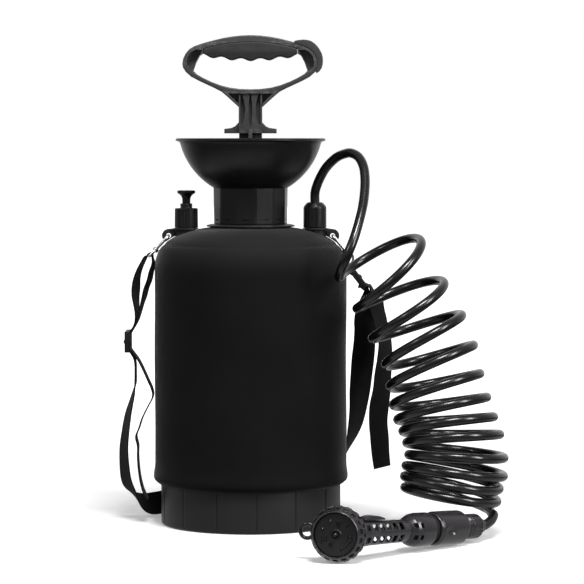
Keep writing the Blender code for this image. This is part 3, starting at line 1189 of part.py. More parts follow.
def gun_head(gun, head):
    back = DIAL_DEPTH + GAP
    end = back + HOUSING_LENGTH
    hub = FACE_RADIUS - 4 * MM
    profile = [(0, FACE_INSET + FACE_THICKNESS + GAP), (hub, FACE_INSET + FACE_THICKNESS + GAP), (hub, back),
               (HOUSING_RADIUS, back), (HOUSING_RADIUS - MM, back + 5 * MM),
               (HOUSING_RADIUS - 7 * MM, end - 6 * MM), (HOUSING_RADIUS - 13 * MM, end), (0, end)]
    housing = turned("head_housing", profile, STEPS_MEDIUM, False, head)
    neck = rod("housing_neck", HANDLE_TUBE_RADIUS_HEAD, HANDLE_TUBE_START - GAP, HEAD_U + 28 * MM,
               STEPS_SMALL, gun)
    join(housing, neck)
    ear_length = EAR_X + EAR_REACH - HOUSING_RADIUS / 2
    join(housing, box("ear", (ear_length, EAR_THICKNESS, EAR_HEIGHT),
                      (EAR_X + EAR_REACH - ear_length / 2, 0, EAR_Z), head))
    hole = rod("ear_hole", HANG_WIRE_RADIUS + 2 * GAP, EAR_THICKNESS, -EAR_THICKNESS, STEPS_TINY, head,
               (EAR_X, 0, EAR_Z))
    hole.rotation_euler = (pi / 2, 0, 0)
    cut(housing, hole)
    finish(housing, SLATE, 0.4)
    bore = FACE_RADIUS + GAP
    hub_hole = hub + SLIDE_GAP
    waist = DIAL_RADIUS - 1.5 * MM
    profile = [(DIAL_RADIUS - MM, 0), (bore, 0), (bore, FACE_INSET + FACE_THICKNESS + GAP),
               (hub_hole, FACE_INSET + FACE_THICKNESS + GAP), (hub_hole, DIAL_DEPTH),
               (DIAL_RADIUS, DIAL_DEPTH), (DIAL_RADIUS, DIAL_DEPTH - DIAL_BAND),
               (waist, DIAL_DEPTH - DIAL_BAND - MM), (waist, 3 * MM)]
    dial = turned("dial_ring", profile, STEPS_MEDIUM, True, head)
    scallops = bmesh.new()
    for index in range(DIAL_SCALLOPS):
        angle = 2 * pi * index / DIAL_SCALLOPS
        place = Matrix.Translation(((DIAL_RADIUS + MM) * cos(angle), (DIAL_RADIUS + MM) * sin(angle),
                                    DIAL_DEPTH - DIAL_BAND / 2))
        bmesh.ops.create_cone(scallops, cap_ends=True, segments=6, radius1=DIAL_SCALLOP_RADIUS,
                              radius2=DIAL_SCALLOP_RADIUS, depth=DIAL_BAND + 4 * MM, matrix=place)
    mesh = bpy.data.meshes.new("scallops")
    scallops.to_mesh(mesh)
    scallops.free()
    cut(dial, add_object("scallops", mesh, head))
    finish(dial, CHARCOAL, 0.35)
    plate_front = FACE_INSET
    profile = [(0, plate_front + FACE_THICKNESS), (FACE_RADIUS, plate_front + FACE_THICKNESS),
               (FACE_RADIUS, plate_front), (0, plate_front)]
    face = turned("dial_face", profile, STEPS_MEDIUM, False, head)
    holes = bmesh.new()
    for circle, count in ((0, 1), (8, 6), (16, 9)):
        for index in range(count):
            angle = 2 * pi * index / count
            place = Matrix.Translation((circle * MM * cos(angle), circle * MM * sin(angle), plate_front))
            bmesh.ops.create_cone(holes, cap_ends=True, segments=5, radius1=FACE_HOLE_RADIUS,
                                  radius2=FACE_HOLE_RADIUS, depth=3 * MM, matrix=place)
    mesh = bpy.data.meshes.new("spray_holes")
    holes.to_mesh(mesh)
    holes.free()
    cut(face, add_object("spray_holes", mesh, head))
    finish(face, SLATE, 0.35)


def hang_ring(head):
    """A wire loop that hangs in the ear on the side of the head housing."""
    frame = add_frame("hang_ring_frame", (EAR_X, 0, EAR_Z), parent=head)
    angles = np.linspace(0, 2 * pi, 13)[:-1]
    points = [(HANG_RING_RADIUS * (1 - cos(angle)), HANG_RING_RADIUS * sin(angle), 0) for angle in angles]
    finish(tube("hang_ring", points, HANG_WIRE_RADIUS, 1, True, frame), BLACK, 0.2)


def build():
    base_foot()
    tank_shell()
    neoprene_sleeve()
    neck_flange()
    funnel()
    relief_valve()
    outlet()
    pump_cap()
    pump_cylinder()
    pump_rod()
    handle()
    for side_name, side, tilt in (("left", -1, HOOK_TILT_LEFT), ("right", 1, HOOK_TILT_RIGHT)):
        strap_lug("strap_lug_" + side_name, side)
        snap_hook(side_name, side, tilt)
    slider("slider_left", SLIDER_LEFT, 0, -1)
    slider("slider_right", SLIDER_RIGHT, -SLIDER_RIGHT_TILT, 1)
    strap_left()
    strap_right()
    hose()
    gun, head = gun_frames()
    connector(gun)
    gun_body(gun)
    thumb_lever(gun)
    gun_head(gun, head)
    hang_ring(head)


build()
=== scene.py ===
"""Visual model of a pump-up portable shower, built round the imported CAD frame.

Lengths in the lists below are in millimetres; every object is made in metres.
"""

import json
from math import asin, atan2, cos, pi, radians, sin

import bmesh
import bpy
import numpy as np
from mathutils import Matrix, Vector

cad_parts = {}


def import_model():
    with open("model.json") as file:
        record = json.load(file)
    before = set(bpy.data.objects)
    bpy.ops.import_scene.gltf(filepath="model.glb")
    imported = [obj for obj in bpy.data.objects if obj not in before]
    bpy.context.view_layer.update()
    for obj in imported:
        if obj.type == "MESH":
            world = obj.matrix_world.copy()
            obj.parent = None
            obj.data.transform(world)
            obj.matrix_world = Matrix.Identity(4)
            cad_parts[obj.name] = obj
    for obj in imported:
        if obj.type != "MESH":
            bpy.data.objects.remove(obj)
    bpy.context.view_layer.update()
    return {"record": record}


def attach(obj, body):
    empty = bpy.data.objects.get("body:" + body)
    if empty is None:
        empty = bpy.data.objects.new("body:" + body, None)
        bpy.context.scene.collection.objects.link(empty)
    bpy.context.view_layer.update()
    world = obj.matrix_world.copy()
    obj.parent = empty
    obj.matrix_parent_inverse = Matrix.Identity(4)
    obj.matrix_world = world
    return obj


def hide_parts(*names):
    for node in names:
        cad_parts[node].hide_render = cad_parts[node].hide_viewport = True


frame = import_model()
MM = 0.001
SIDES = (-1, 1)

# Camera

FOCAL_PIXELS = 2775
IMAGE_PIXELS = 584
SENSOR = 36
CAMERA_PLACE = (0.0444, -2.978, 0.413)
CAMERA_PITCH = 3.156

lens = bpy.data.cameras.new("camera")
lens.sensor_width = SENSOR
lens.lens = FOCAL_PIXELS / IMAGE_PIXELS * SENSOR
lens.clip_start = 0.05
lens.clip_end = 60
camera = bpy.data.objects.new("camera", lens)
camera.location = CAMERA_PLACE
camera.rotation_euler = (radians(90 - CAMERA_PITCH), 0, 0)
bpy.context.scene.collection.objects.link(camera)
bpy.context.scene.camera = camera


# Mesh helpers

def link(obj):
    bpy.context.scene.collection.objects.link(obj)
    return obj


def mesh_object(name, points, faces, place=None):
    """A smooth-shaded mesh from points in millimetres, in an optional frame."""
    points = np.array(points, dtype=float)
    if place is not None:
        turn = np.array(place.to_3x3())
        points = points @ turn.T + np.array(place.translation)
    mesh = bpy.data.meshes.new(name)
    mesh.from_pydata((points * MM).tolist(), [], faces)
    shape = bmesh.new()
    shape.from_mesh(mesh)
    bmesh.ops.recalc_face_normals(shape, faces=shape.faces)
    shape.to_mesh(mesh)
    shape.free()
    return smooth(link(bpy.data.objects.new(name, mesh)))


def smooth(obj, angle=38):
    obj.data.shade_smooth()
    obj.data.set_sharp_from_angle(angle=radians(angle))
    return obj


def from_bmesh(name, shape):
    """A smooth-shaded object from a bmesh in metres, which is freed."""
    mesh = bpy.data.meshes.new(name)
    shape.to_mesh(mesh)
    shape.free()
    return smooth(link(bpy.data.objects.new(name, mesh)))


def in_metres(place):
    """A frame that is given in millimetres, in metres."""
    result = place.copy()
    result.translation = place.translation * MM
    return result


def applied(obj):
    """The object with its modifiers made part of its mesh."""
    bpy.context.view_layer.update()
    evaluated = obj.evaluated_get(bpy.context.evaluated_depsgraph_get())
    mesh = bpy.data.meshes.new_from_object(evaluated)
    if obj.type == "CURVE":
        made = link(bpy.data.objects.new(obj.name, mesh))
        made.matrix_world = obj.matrix_world
        bpy.data.objects.remove(obj, do_unlink=True)
        return made
    obj.modifiers.clear()
    obj.data = mesh
    return obj


def combine(obj, others, operation):
    for other in others:
        boolean = obj.modifiers.new("Boolean", "BOOLEAN")
        boolean.operation = operation
        boolean.solver = "EXACT"
        boolean.object = other
    applied(obj)
    for other in others:
        bpy.data.objects.remove(other, do_unlink=True)
    return smooth(obj)


def carve(obj, *cutters):
    return combine(obj, cutters, "DIFFERENCE")


def unite(obj, *others):
    return combine(obj, others, "UNION")


def softened(obj, width):
    """Rounds the sharp edges of a mesh by a width in millimetres."""
    modifier = obj.modifiers.new("Bevel", "BEVEL")
    modifier.width = width * MM
    modifier.segments = 2
    modifier.limit_method = "ANGLE"
    modifier.angle_limit = radians(32)
    applied(obj)
    return smooth(obj, 50)


def fillet(profile, radius, closed=False, count=3, least=12):
    """The profile with corners sharper than a least angle rounded to a radius that its sides allow."""
    points = [np.array(point, dtype=float) for point in profile]
    total = len(points)
    result = []
    for index, point in enumerate(points):
        if not closed and index in (0, total - 1):
            result.append(tuple(point))
            continue
        before = points[index - 1] - point
        after = points[(index + 1) % total] - point
        length_before = np.linalg.norm(before)
        length_after = np.linalg.norm(after)
        before /= length_before
        after /= length_after
        inside = np.arccos(np.clip(before @ after, -1, 1))
        if pi - inside < radians(least) or radius == 0:
            result.append(tuple(point))
            continue
        reach = min(radius / np.tan(inside / 2), 0.45 * length_before, 0.45 * length_after)
        start = point + before * reach
        end = point + after * reach
        for share in np.linspace(0, 1, count + 1):
            corner = (1 - share) ** 2 * start + 2 * share * (1 - share) * point + share ** 2 * end
            result.append(tuple(corner))
    return result


def lathe(name, profile, steps=96, closed=False, place=None, shape=None):
    """A profile of (radius, height) turned about Z; shape gives the radii at each angle of a height."""
    angles = np.linspace(0, 2 * pi, steps, endpoint=False)
    points = []
    rings = []
    for radius, height in profile:
        if radius < 1e-6 and not closed:
            rings.append([len(points)])
            points.append((0, 0, height))
            continue
        radii = shape(angles, radius, height) if shape else np.full(steps, radius)
        rings.append(list(range(len(points), len(points) + steps)))
        points.extend(zip(radii * np.cos(angles), radii * np.sin(angles), np.full(steps, height)))
    pairs = list(zip(rings, rings[1:]))
    if closed:
        pairs.append((rings[-1], rings[0]))
    faces = []
    for upper, lower in pairs:
        for index in range(steps):
            after = (index + 1) % steps
            if len(upper) == 1 and len(lower) == 1:
                continue
            if len(upper) == 1:
                faces.append((upper[0], lower[index], lower[after]))
            elif len(lower) == 1:
                faces.append((upper[index], lower[0], upper[after]))
            else:
                faces.append((upper[index], lower[index], lower[after], upper[after]))
    return mesh_object(name, points, faces, place)


def ribs(count, depth, low, high, share=0.5):
    """A shape for lathe: round grooves between two heights that take up a share of the girth."""
    def shape(angles, radius, height):
        if not low <= height <= high:
            return np.full(len(angles), radius)
        wave = 0.5 + 0.5 * np.cos(count * angles)
        groove = np.clip((wave - (1 - share)) / share, 0, 1) ** 0.5
        return radius - depth * groove
    return shape


def with_levels(profile, low, high, least):
    """Adds points to straight sides beyond a least radius, just above and below two heights."""
    result = []
    for start, end in zip(profile, profile[1:] + profile[:1]):
        result.append(start)
        if min(start[0], end[0]) < least or abs(start[1] - end[1]) < 1e-6:
            continue
        falling = bool(start[1] > end[1])
        for level in sorted((low - 0.01, low + 0.01, high - 0.01, high + 0.01), reverse=falling):
            if min(start[1], end[1]) < level < max(start[1], end[1]):
                share = (level - start[1]) / (end[1] - start[1])
                result.append((start[0] + share * (end[0] - start[0]), level))
    return result


GROOVE_DEPTH = 0.9
GROOVE_HALF = 0.75


def grooves(count, turn, low, high, least):
    """A shape for lathe: narrow grooves between two heights, one of them at a turn in degrees."""
    def shape(angles, radius, height):
        if radius < least or not low <= height <= high:
            return np.full(len(angles), radius)
        step = 2 * pi / count
        apart = (angles - radians(turn) + step / 2) % step - step / 2
        return radius - GROOVE_DEPTH * np.exp(-(apart * radius / GROOVE_HALF) ** 4)
    return shape


def ring(name, profile, rounding, steps, place=None, shape=None, levels=None, count=3):
    """A closed profile with rounded corners turned about Z; levels are those of with_levels."""
    profile = fillet(profile, rounding, closed=True, count=count)
    if levels:
        profile = with_levels(profile, *levels)
    return lathe(name, profile, steps, closed=True, place=place, shape=shape)


def rod(name, radius, top, bottom, steps, place=None, rounding=0):
    """A solid cylinder about Z between two heights."""
    profile = fillet([(0, top), (radius, top), (radius, bottom), (0, bottom)], rounding)
    return lathe(name, profile, steps, place=place)


def catmull(rows, step):
    """Rows read from a smooth curve through the given rows, about a step apart."""
    rows = np.array(rows, dtype=float)
    last = len(rows) - 1
    result = []
    for index in range(last):
        before = rows[max(index - 1, 0)]
        start = rows[index]
        end = rows[index + 1]
        after = rows[min(index + 2, last)]
        count = max(1, int(np.ceil(np.linalg.norm((end - start)[:3]) / step)))
        for part in range(count):
            share = part / count
            result.append(0.5 * (2 * start + (end - before) * share
                                 + (2 * before - 5 * start + 4 * end - after) * share ** 2
                                 + (3 * start - before - 3 * end + after) * share ** 3))
    result.append(rows[last])
    return np.array(result)


def slab(name, outlines, depth, edge, place=None):
    """Flat outlines of (x, z) in millimetres with a depth along Y and rounded edges."""
    curve = bpy.data.curves.new(name, "CURVE")
    curve.dimensions = "2D"
    curve.fill_mode = "BOTH"
    curve.extrude = (depth / 2 - edge) * MM
    curve.bevel_depth = edge * MM
    curve.bevel_resolution = 2
    curve.offset = -edge * MM
    for outline in outlines:
        spline = curve.splines.new("POLY")
        spline.points.add(len(outline) - 1)
        for point, (across, up) in zip(spline.points, outline):
            point.co = (across * MM, up * MM, 0, 1)
        spline.use_cyclic_u = True
    obj = applied(link(bpy.data.objects.new(name, curve)))
    shape = bmesh.new()
    shape.from_mesh(obj.data)
    bmesh.ops.remove_doubles(shape, verts=shape.verts, dist=1e-6)
    bmesh.ops.transform(shape, matrix=Matrix.Rotation(pi / 2, 4, "X"), verts=shape.verts)
    if place is not None:
        bmesh.ops.transform(shape, matrix=in_metres(place), verts=shape.verts)
    bmesh.ops.recalc_face_normals(shape, faces=shape.faces)
    shape.to_mesh(obj.data)
    shape.free()
    obj.data.materials.clear()
    return smooth(obj)


def block(name, size, centre, edge=0.6, place=None):
    """A box with rounded edges."""
    shape = bmesh.new()
    matrix = Matrix.Translation(Vector(centre) * MM) @ Matrix.Diagonal((*(value * MM for value in size), 1))
    bmesh.ops.create_cube(shape, size=1, matrix=matrix)
    bmesh.ops.bevel(shape, geom=shape.edges[:], offset=edge * MM, segments=3, affect="EDGES", profile=0.5)
    if place is not None:
        bmesh.ops.transform(shape, matrix=in_metres(place), verts=shape.verts)
    return from_bmesh(name, shape)


def loft(name, centres, sides, ups, section, closed=False, place=None):
    """A closed section of (across, up) swept through centres; section may be one array or one per centre."""
    centres = np.array(centres, dtype=float)
    count = len(centres)
    section = np.array(section, dtype=float)
    if section.ndim == 2:
        section = np.repeat(section[None], count, axis=0)
    around = section.shape[1]
    points = (centres[:, None, :] + section[:, :, 0:1] * np.array(sides)[:, None, :]
              + section[:, :, 1:2] * np.array(ups)[:, None, :]).reshape(-1, 3)
    faces = []
    for row in range(count if closed else count - 1):
        after = (row + 1) % count
        for index in range(around):
            following = (index + 1) % around
            faces.append((row * around + index, row * around + following,
                          after * around + following, after * around + index))
    if not closed:
        faces.append(tuple(range(around)))
        faces.append(tuple(range((count - 1) * around, count * around)))
    return mesh_object(name, points, faces, place)


def frames_along(path, closed=False):
    """Directions square to a path that turn as little as they can along it."""
    path = np.array(path, dtype=float)
    if closed:
        tangents = np.roll(path, -1, axis=0) - np.roll(path, 1, axis=0)
    else:
        tangents = np.gradient(path, axis=0)
    tangents /= np.linalg.norm(tangents, axis=1)[:, None]
    side = np.cross(tangents[0], (0, 0, 1))
    if np.linalg.norm(side) < 0.2:
        side = np.cross(tangents[0], (0, 1, 0))
    side /= np.linalg.norm(side)
    sides = []
    for tangent in tangents:
        side = side - tangent * (side @ tangent)
        side /= np.linalg.norm(side)
        sides.append(side)
    sides = np.array(sides)
    return sides, np.cross(tangents, sides)


# The rings of a pipe's rounded end: their place beyond it and their width, as shares of the radius
END_LIFTS = [0.35, 0.3, 0.18]
END_SHARES = [0.55, 0.8, 0.95]


def circle(radius, count):
    angles = np.linspace(0, 2 * pi, count, endpoint=False)
    return np.stack([radius * np.cos(angles), radius * np.sin(angles)], axis=1)


def pipe(name, path, radius, count=16, closed=False, place=None, rounded=True):
    """A round tube along a path in millimetres, with rounded ends."""
    path = np.array(path, dtype=float)
    sides, ups = frames_along(path, closed)
    section = circle(1, count)
    if closed:
        return loft(name, path, sides, ups, section * radius, closed=True, place=place)
    scale = np.full(len(path), float(radius))
    centres = path
    if rounded:
        start = (path[0] - path[1]) / np.linalg.norm(path[0] - path[1])
        end = (path[-1] - path[-2]) / np.linalg.norm(path[-1] - path[-2])
        lifts = np.array(END_LIFTS) * radius
        shares = np.array(END_SHARES) * radius
        centres = np.vstack([[path[0] + start * lift for lift in lifts], path,
                             [path[-1] + end * lift for lift in lifts[::-1]]])
        scale = np.concatenate([shares, scale, shares[::-1]])
        sides = np.vstack([[sides[0]] * 3, sides, [sides[-1]] * 3])
        ups = np.vstack([[ups[0]] * 3, ups, [ups[-1]] * 3])
    sections = section[None] * scale[:, None, None]
    return loft(name, centres, sides, ups, sections, place=place)


# Hose route, repeated from the solids; its first point lies inside the outlet nut

HOSE_RADIUS = 5
LEAD = [(69, 0, 341), (69, 0, 345.3), (69, 0, 355), (71, -2, 363), (75.5, -6, 373.5), (82, -12, 384),
        (92, -20, 393.5), (101, -28, 397.5), (107.5, -35, 398), (115, -44, 393.5), (119.7, -55, 383.5),
        (121, -66, 370.3), (120.2, -77, 357), (118.4, -87, 344.8), (115.7, -96, 333.7),
        (111.5, -106, 319.3), (106.8, -113.5, 306), (101.8, -116.5, 294), (97.5, -114, 283.5),
        (94.8, -107.5, 276)]
# turn, x, y, z, lean to the right, tip of the front, mean radius
COIL_STATIONS = [(-0.5, 130.3, -84, 300.2, 40, -5, 46), (1, 161.5, -88, 242, 28, -1, 46.4),
                 (2.5, 185.3, -91, 196, 23, 8, 47), (4, 194.2, -94, 157, 14.5, 10, 47.6),
                 (5.5, 202.8, -96, 127.2, 7.5, 9, 48.5), (7, 211.5, -98, 104.5, 1.4, 9, 49.2),
                 (8.5, 216, -99, 77.5, -8, 5, 50.2), (10, 211, -100, 58.4, -10.3, 1, 50),
                 (11, 210, -100, 46.3, -12, 1, 49), (12, 207, -99, 34, -12.5, 0, 46)]
COIL_START = -0.5
COIL_END = 12
STEPS_PER_TURN = 48
LEAD_ENTRY = (15.3, 10)
TAIL_EXIT = (10.3, 14.3)
# The connector's middle and the direction from the spray gun to the hose
GUN_POINT = Vector((200.6, -178, 18.8))
GUN_AXIS = Vector((0.69, 0.72, -0.058)).normalized()
TAIL_BEND = (250.5, -122.5, 18.8)
TAIL_NUT = 56.3
TAIL_END = 50


def coil_station(turn):
    """The coil's centre, lean, tip and radius at a turn, on a smooth curve through the stations."""
    rows = np.array(COIL_STATIONS, dtype=float)
    last = len(rows) - 1
    index = min(int(np.searchsorted(rows[:, 0], turn, side="right")) - 1, last - 1)
    start = rows[index]
    end = rows[index + 1]
    span = end[0] - start[0]
    share = (turn - start[0]) / span
    before = rows[index - 1] if index > 0 else start
    after = rows[index + 2] if index < last - 1 else end
    slope_start = (end - before)[1:] / (end - before)[0]
    slope_end = (after - start)[1:] / (after - start)[0]
    return ((2 * share ** 3 - 3 * share ** 2 + 1) * start[1:]
            + (share ** 3 - 2 * share ** 2 + share) * span * slope_start
            + (3 * share ** 2 - 2 * share ** 3) * end[1:]
            + (share ** 3 - share ** 2) * span * slope_end)


def coil_point(turn):
    """The right end at whole turns, the front a quarter later."""
    x, y, z, lean, tip, radius = coil_station(turn)
    lean = radians(lean)
    tip = radians(tip)
    to_right = np.array((cos(lean), 0, sin(lean)))
    to_front = np.array((-sin(lean) * sin(tip), -cos(tip), cos(lean) * sin(tip)))
    angle = 2 * pi * turn
    return np.array((x, y, z)) + radius * (to_right * cos(angle) + to_front * sin(angle))


def unit(vector):
    return np.array(vector) / np.linalg.norm(vector)


def hose_route():
    """Lead, coil and tail, with straight pieces where they meet."""
    count = int((COIL_END - COIL_START) * STEPS_PER_TURN)
    coil = [coil_point(COIL_START + index / STEPS_PER_TURN) for index in range(count + 1)]
    enter = unit(coil[0] - coil_point(COIL_START + 0.05))
    leave = unit(coil[-1] - coil_point(COIL_END - 0.05))
    lead = LEAD + [tuple(coil[0] + enter * reach) for reach in LEAD_ENTRY]
    axis = np.array(GUN_AXIS)
    nut = np.array(GUN_POINT) + axis * TAIL_NUT
    tail = [coil[-1] + leave * reach for reach in TAIL_EXIT]
    tail += [np.array(TAIL_BEND), nut + axis * 5, nut, np.array(GUN_POINT) + axis * TAIL_END]
    return np.vstack([catmull(lead, 4), coil, catmull(tail, 3)])


route = hose_route()
hose = pipe("hose", route, HOSE_RADIUS, 20, rounded=False)


# Materials

class Nodes:
    """A few words for building the nodes of a new material, or of a world."""

    def __init__(self, name, owner=None):
        self.material = owner or bpy.data.materials.new(name)
        self.material.use_nodes = True
        self.tree = self.material.node_tree
        self.shader = self.tree.nodes.get("Principled BSDF")
        self.coordinates = self.node("ShaderNodeTexCoord").outputs
        self.place = self.coordinates["Object"]

    def node(self, kind, **values):
        made = self.tree.nodes.new(kind)
        for key, value in values.items():
            setattr(made, key, value)
        return made

    def join(self, source, target):
        self.tree.links.new(source, target)

    def fill(self, socket, value):
        if isinstance(value, bpy.types.NodeSocket):
            self.join(value, socket)
        else:
            socket.default_value = value

    def math(self, operation, first, second=0.0, clamp=False):
        made = self.node("ShaderNodeMath", operation=operation, use_clamp=clamp)
        self.fill(made.inputs[0], first)
        self.fill(made.inputs[1], second)
        return made.outputs[0]

    def noise(self, scale, detail=2.0, rough=0.5, vector=None):
        made = self.node("ShaderNodeTexNoise")
        made.inputs["Scale"].default_value = scale
        made.inputs["Detail"].default_value = detail
        made.inputs["Roughness"].default_value = rough
        self.join(vector if vector is not None else self.place, made.inputs["Vector"])
        return made.outputs["Fac"]

    def stretched_and_painted_light(self, scale):
        made = self.node("ShaderNodeMapping")
        made.inputs["Scale"].default_value = scale
        self.join(self.place, made.inputs["Vector"])
        return made.outputs["Vector"]

    def spread(self, value, low, high, start=0.0, end=1.0):
        made = self.node("ShaderNodeMapRange")
        for name, number in (("From Min", low), ("From Max", high), ("To Min", start), ("To Max", end)):
            made.inputs[name].default_value = number
        self.join(value, made.inputs["Value"])
        return made.outputs["Result"]

    def mix(self, share, first, second):
        made = self.node("ShaderNodeMix", data_type="RGBA")
        self.fill(made.inputs["Factor"], share)
        self.fill(made.inputs[6], (*first, 1) if isinstance(first, tuple) else first)
        self.fill(made.inputs[7], (*second, 1) if isinstance(second, tuple) else second)
        return made.outputs[2]

    def bump(self, height, strength, distance, before=None):
        made = self.node("ShaderNodeBump")
        made.inputs["Strength"].default_value = strength
        made.inputs["Distance"].default_value = distance
        self.join(height, made.inputs["Height"])
        if before is not None:
            self.join(before, made.inputs["Normal"])
        return made.outputs["Normal"]

    def edges(self, low=0.53, high=0.62):
        made = self.node("ShaderNodeNewGeometry")
        return self.spread(made.outputs["Pointiness"], low, high)

    def parts(self, vector):
        made = self.node("ShaderNodeSeparateXYZ")
        self.join(vector, made.inputs[0])
        return made.outputs

    def set(self, **values):
        for key, value in values.items():
            self.fill(self.shader.inputs[key.replace("_", " ")], value)


def plastic(name, colour, rough, grain=0.25, edge_wear_and_highlight=1.6, shine=0.3):
    """Moulded plastic: a fine etched grain, uneven gloss, sharp edges paler from wear and a painted
    highlight, and faint rubbing marks.
    """
    nodes = Nodes(name)
    cloud = nodes.noise(22, 3, 0.55)
    fine = nodes.noise(1500, 2, 0.6)
    rubs = nodes.noise(1.0, 4, 0.6, nodes.stretched_and_painted_light((420, 420, 60)))
    # Paler sharp edges: partly wear, partly a painted highlight on the bevels; the factor sets how pale they
    # get.
    wear_and_edge_highlight = nodes.math("MULTIPLY", nodes.edges(), nodes.spread(nodes.noise(180, 3), 0.35, 0.7), clamp=True)
    pale = tuple(value * edge_wear_and_highlight + 0.004 for value in colour)
    deep = tuple(value * 0.82 for value in colour)
    body = nodes.mix(nodes.spread(cloud, 0.3, 0.7), deep, colour)
    nodes.set(Base_Color=nodes.mix(wear_and_edge_highlight, body, pale))
    gloss = nodes.spread(cloud, 0.25, 0.75, rough - 0.05, rough + 0.06)
    scuffs = nodes.spread(rubs, 0.62, 0.74, 0, 0.16)
    nodes.set(Roughness=nodes.math("ADD", gloss, scuffs))
    nodes.set(Normal=nodes.bump(fine, grain, 0.00012, nodes.bump(cloud, 0.1, 0.0008)))
    nodes.set(Specular_IOR_Level=shine)
    return nodes.material


SEAM_Z = 300
YARN_WIDTH = 0.00155
PICK_LENGTH = 0.0021


def neoprene():
    """Foamed rubber faced with a fine jersey knit, with painted light from above that makes the dome paler,
    and a stitched seam.
    """
    nodes = Nodes("neoprene")
    x, y, z = nodes.parts(nodes.place)
    angle = nodes.math("ARCTAN2", y, x)
    wale = nodes.math("SINE", nodes.math("MULTIPLY", angle, 560))
    ridge = nodes.math("ABSOLUTE", wale)
    slant = nodes.math("ADD", nodes.math("MULTIPLY", z, 6200), nodes.math("MULTIPLY", ridge, 1.4))
    knit = nodes.math("MULTIPLY", nodes.math("SINE", slant), ridge)
    cloud = nodes.noise(14, 3, 0.5)
    fuzz = nodes.noise(900, 3, 0.7)
    tone = nodes.math("ADD", nodes.math("MULTIPLY", cloud, 0.7), nodes.math("MULTIPLY", fuzz, 0.3))
    tone = nodes.spread(tone, 0.35, 0.65)
    side = nodes.mix(tone, (0.0027, 0.0027, 0.003), (0.0046, 0.0046, 0.0049))
    # The dome's colour is paler than the side's: painted light from above, blended in from the shoulder up to
    # the seam.
    stretched_and_painted_light = nodes.mix(tone, (0.0085, 0.0085, 0.009), (0.0125, 0.0125, 0.0131))
    nodes.set(Base_Color=nodes.mix(nodes.spread(z, 0.268, 0.3), side, stretched_and_painted_light))
    nodes.set(Roughness=nodes.spread(fuzz, 0.3, 0.7, 0.82, 0.95), Specular_IOR_Level=0.12)
    nodes.set(Sheen_Weight=0.3, Sheen_Roughness=0.26, Sheen_Tint=(0.75, 0.75, 0.78, 1))
    off_seam = nodes.math("ABSOLUTE", nodes.math("SUBTRACT", z, SEAM_Z * MM))
    along = nodes.math("ADD", nodes.math("MULTIPLY", angle, 190), nodes.math("MULTIPLY", z, 900))
    stitches = nodes.math("MULTIPLY", nodes.math("SINE", along), nodes.spread(off_seam, 0.0021, 0.0015))
    sewn = nodes.bump(stitches, 0.4, 0.0005, nodes.bump(cloud, 0.35, 0.004))
    nodes.set(Normal=nodes.bump(knit, 0.22, 0.00025, nodes.bump(fuzz, 0.15, 0.0002, sewn)))
    return nodes.material


def webbing():
    """Flat woven webbing: slanting yarns across and along the band."""
    nodes = Nodes("webbing")
    weave = nodes.node("ShaderNodeAttribute", attribute_name="weave")
    across, along = nodes.parts(weave.outputs["Vector"])[:2]
    yarns = nodes.math("ABSOLUTE", nodes.math("SINE", nodes.math("MULTIPLY", across, pi / YARN_WIDTH)))
    zigzag = nodes.math("PINGPONG", across, 2 * YARN_WIDTH)
    picks = nodes.math("MULTIPLY", nodes.math("ADD", along, zigzag), 2 * pi / PICK_LENGTH)
    raised = nodes.math("ADD", nodes.math("MULTIPLY", nodes.math("SINE", picks), 0.5), 0.5)
    weave = nodes.math("MULTIPLY", yarns, raised)
    fuzz = nodes.noise(1800, 3, 0.7)
    cloud = nodes.noise(60, 3, 0.5)
    tone = nodes.math("ADD", nodes.math("MULTIPLY", weave, 0.6), nodes.math("MULTIPLY", cloud, 0.5))
    tone = nodes.spread(tone, 0.2, 0.85)
    nodes.set(Base_Color=nodes.mix(tone, (0.0028, 0.0028, 0.003), (0.0086, 0.0085, 0.009)))
    nodes.set(Roughness=nodes.spread(fuzz, 0.3, 0.7, 0.66, 0.86), Specular_IOR_Level=0.12)
    nodes.set(Sheen_Weight=0.03, Sheen_Roughness=0.4, Sheen_Tint=(0.7, 0.7, 0.72, 1))
    nodes.set(Normal=nodes.bump(weave, 0.6, 0.0004, nodes.bump(fuzz, 0.25, 0.0002)))
    return nodes.material


def hose_skin():
    """Glossy extruded hose with light smears and a faint waviness."""
    nodes = Nodes("hose")
    cloud = nodes.noise(35, 4, 0.6)
    smear = nodes.noise(9, 4, 0.6)
    tone = nodes.spread(cloud, 0.3, 0.7)
    nodes.set(Base_Color=nodes.mix(tone, (0.0028, 0.0028, 0.0031), (0.0055, 0.0055, 0.006)))
    nodes.set(Roughness=nodes.spread(smear, 0.35, 0.7, 0.21, 0.25), Specular_IOR_Level=0.5)
    nodes.set(Normal=nodes.bump(smear, 0.012, 0.0004))
    return nodes.material


def chrome():
    """Plated steel wire with a slightly uneven polish."""
    nodes = Nodes("chrome")
    cloud = nodes.noise(260, 3, 0.6)
    nodes.set(Base_Color=nodes.mix(nodes.spread(cloud, 0.3, 0.7), (0.72, 0.72, 0.73), (0.9, 0.9, 0.92)))
    nodes.set(Roughness=nodes.spread(cloud, 0.3, 0.7, 0.24, 0.36), Metallic=1.0)
    nodes.set(Normal=nodes.bump(nodes.noise(700, 2), 0.08, 0.0002))
    return nodes.material


def rubber(name, colour, rough):
    """Matte moulded rubber with a fine grain."""
    nodes = Nodes(name)
    cloud = nodes.noise(80, 4, 0.6)
    fine = nodes.noise(1300, 3, 0.7)
    deep = tuple(value * 0.7 for value in colour)
    nodes.set(Base_Color=nodes.mix(nodes.spread(cloud, 0.3, 0.7), deep, colour))
    nodes.set(Roughness=nodes.spread(fine, 0.3, 0.7, rough - 0.06, rough + 0.08))
    nodes.set(Normal=nodes.bump(fine, 0.3, 0.00015), Specular_IOR_Level=0.25)
    return nodes.material


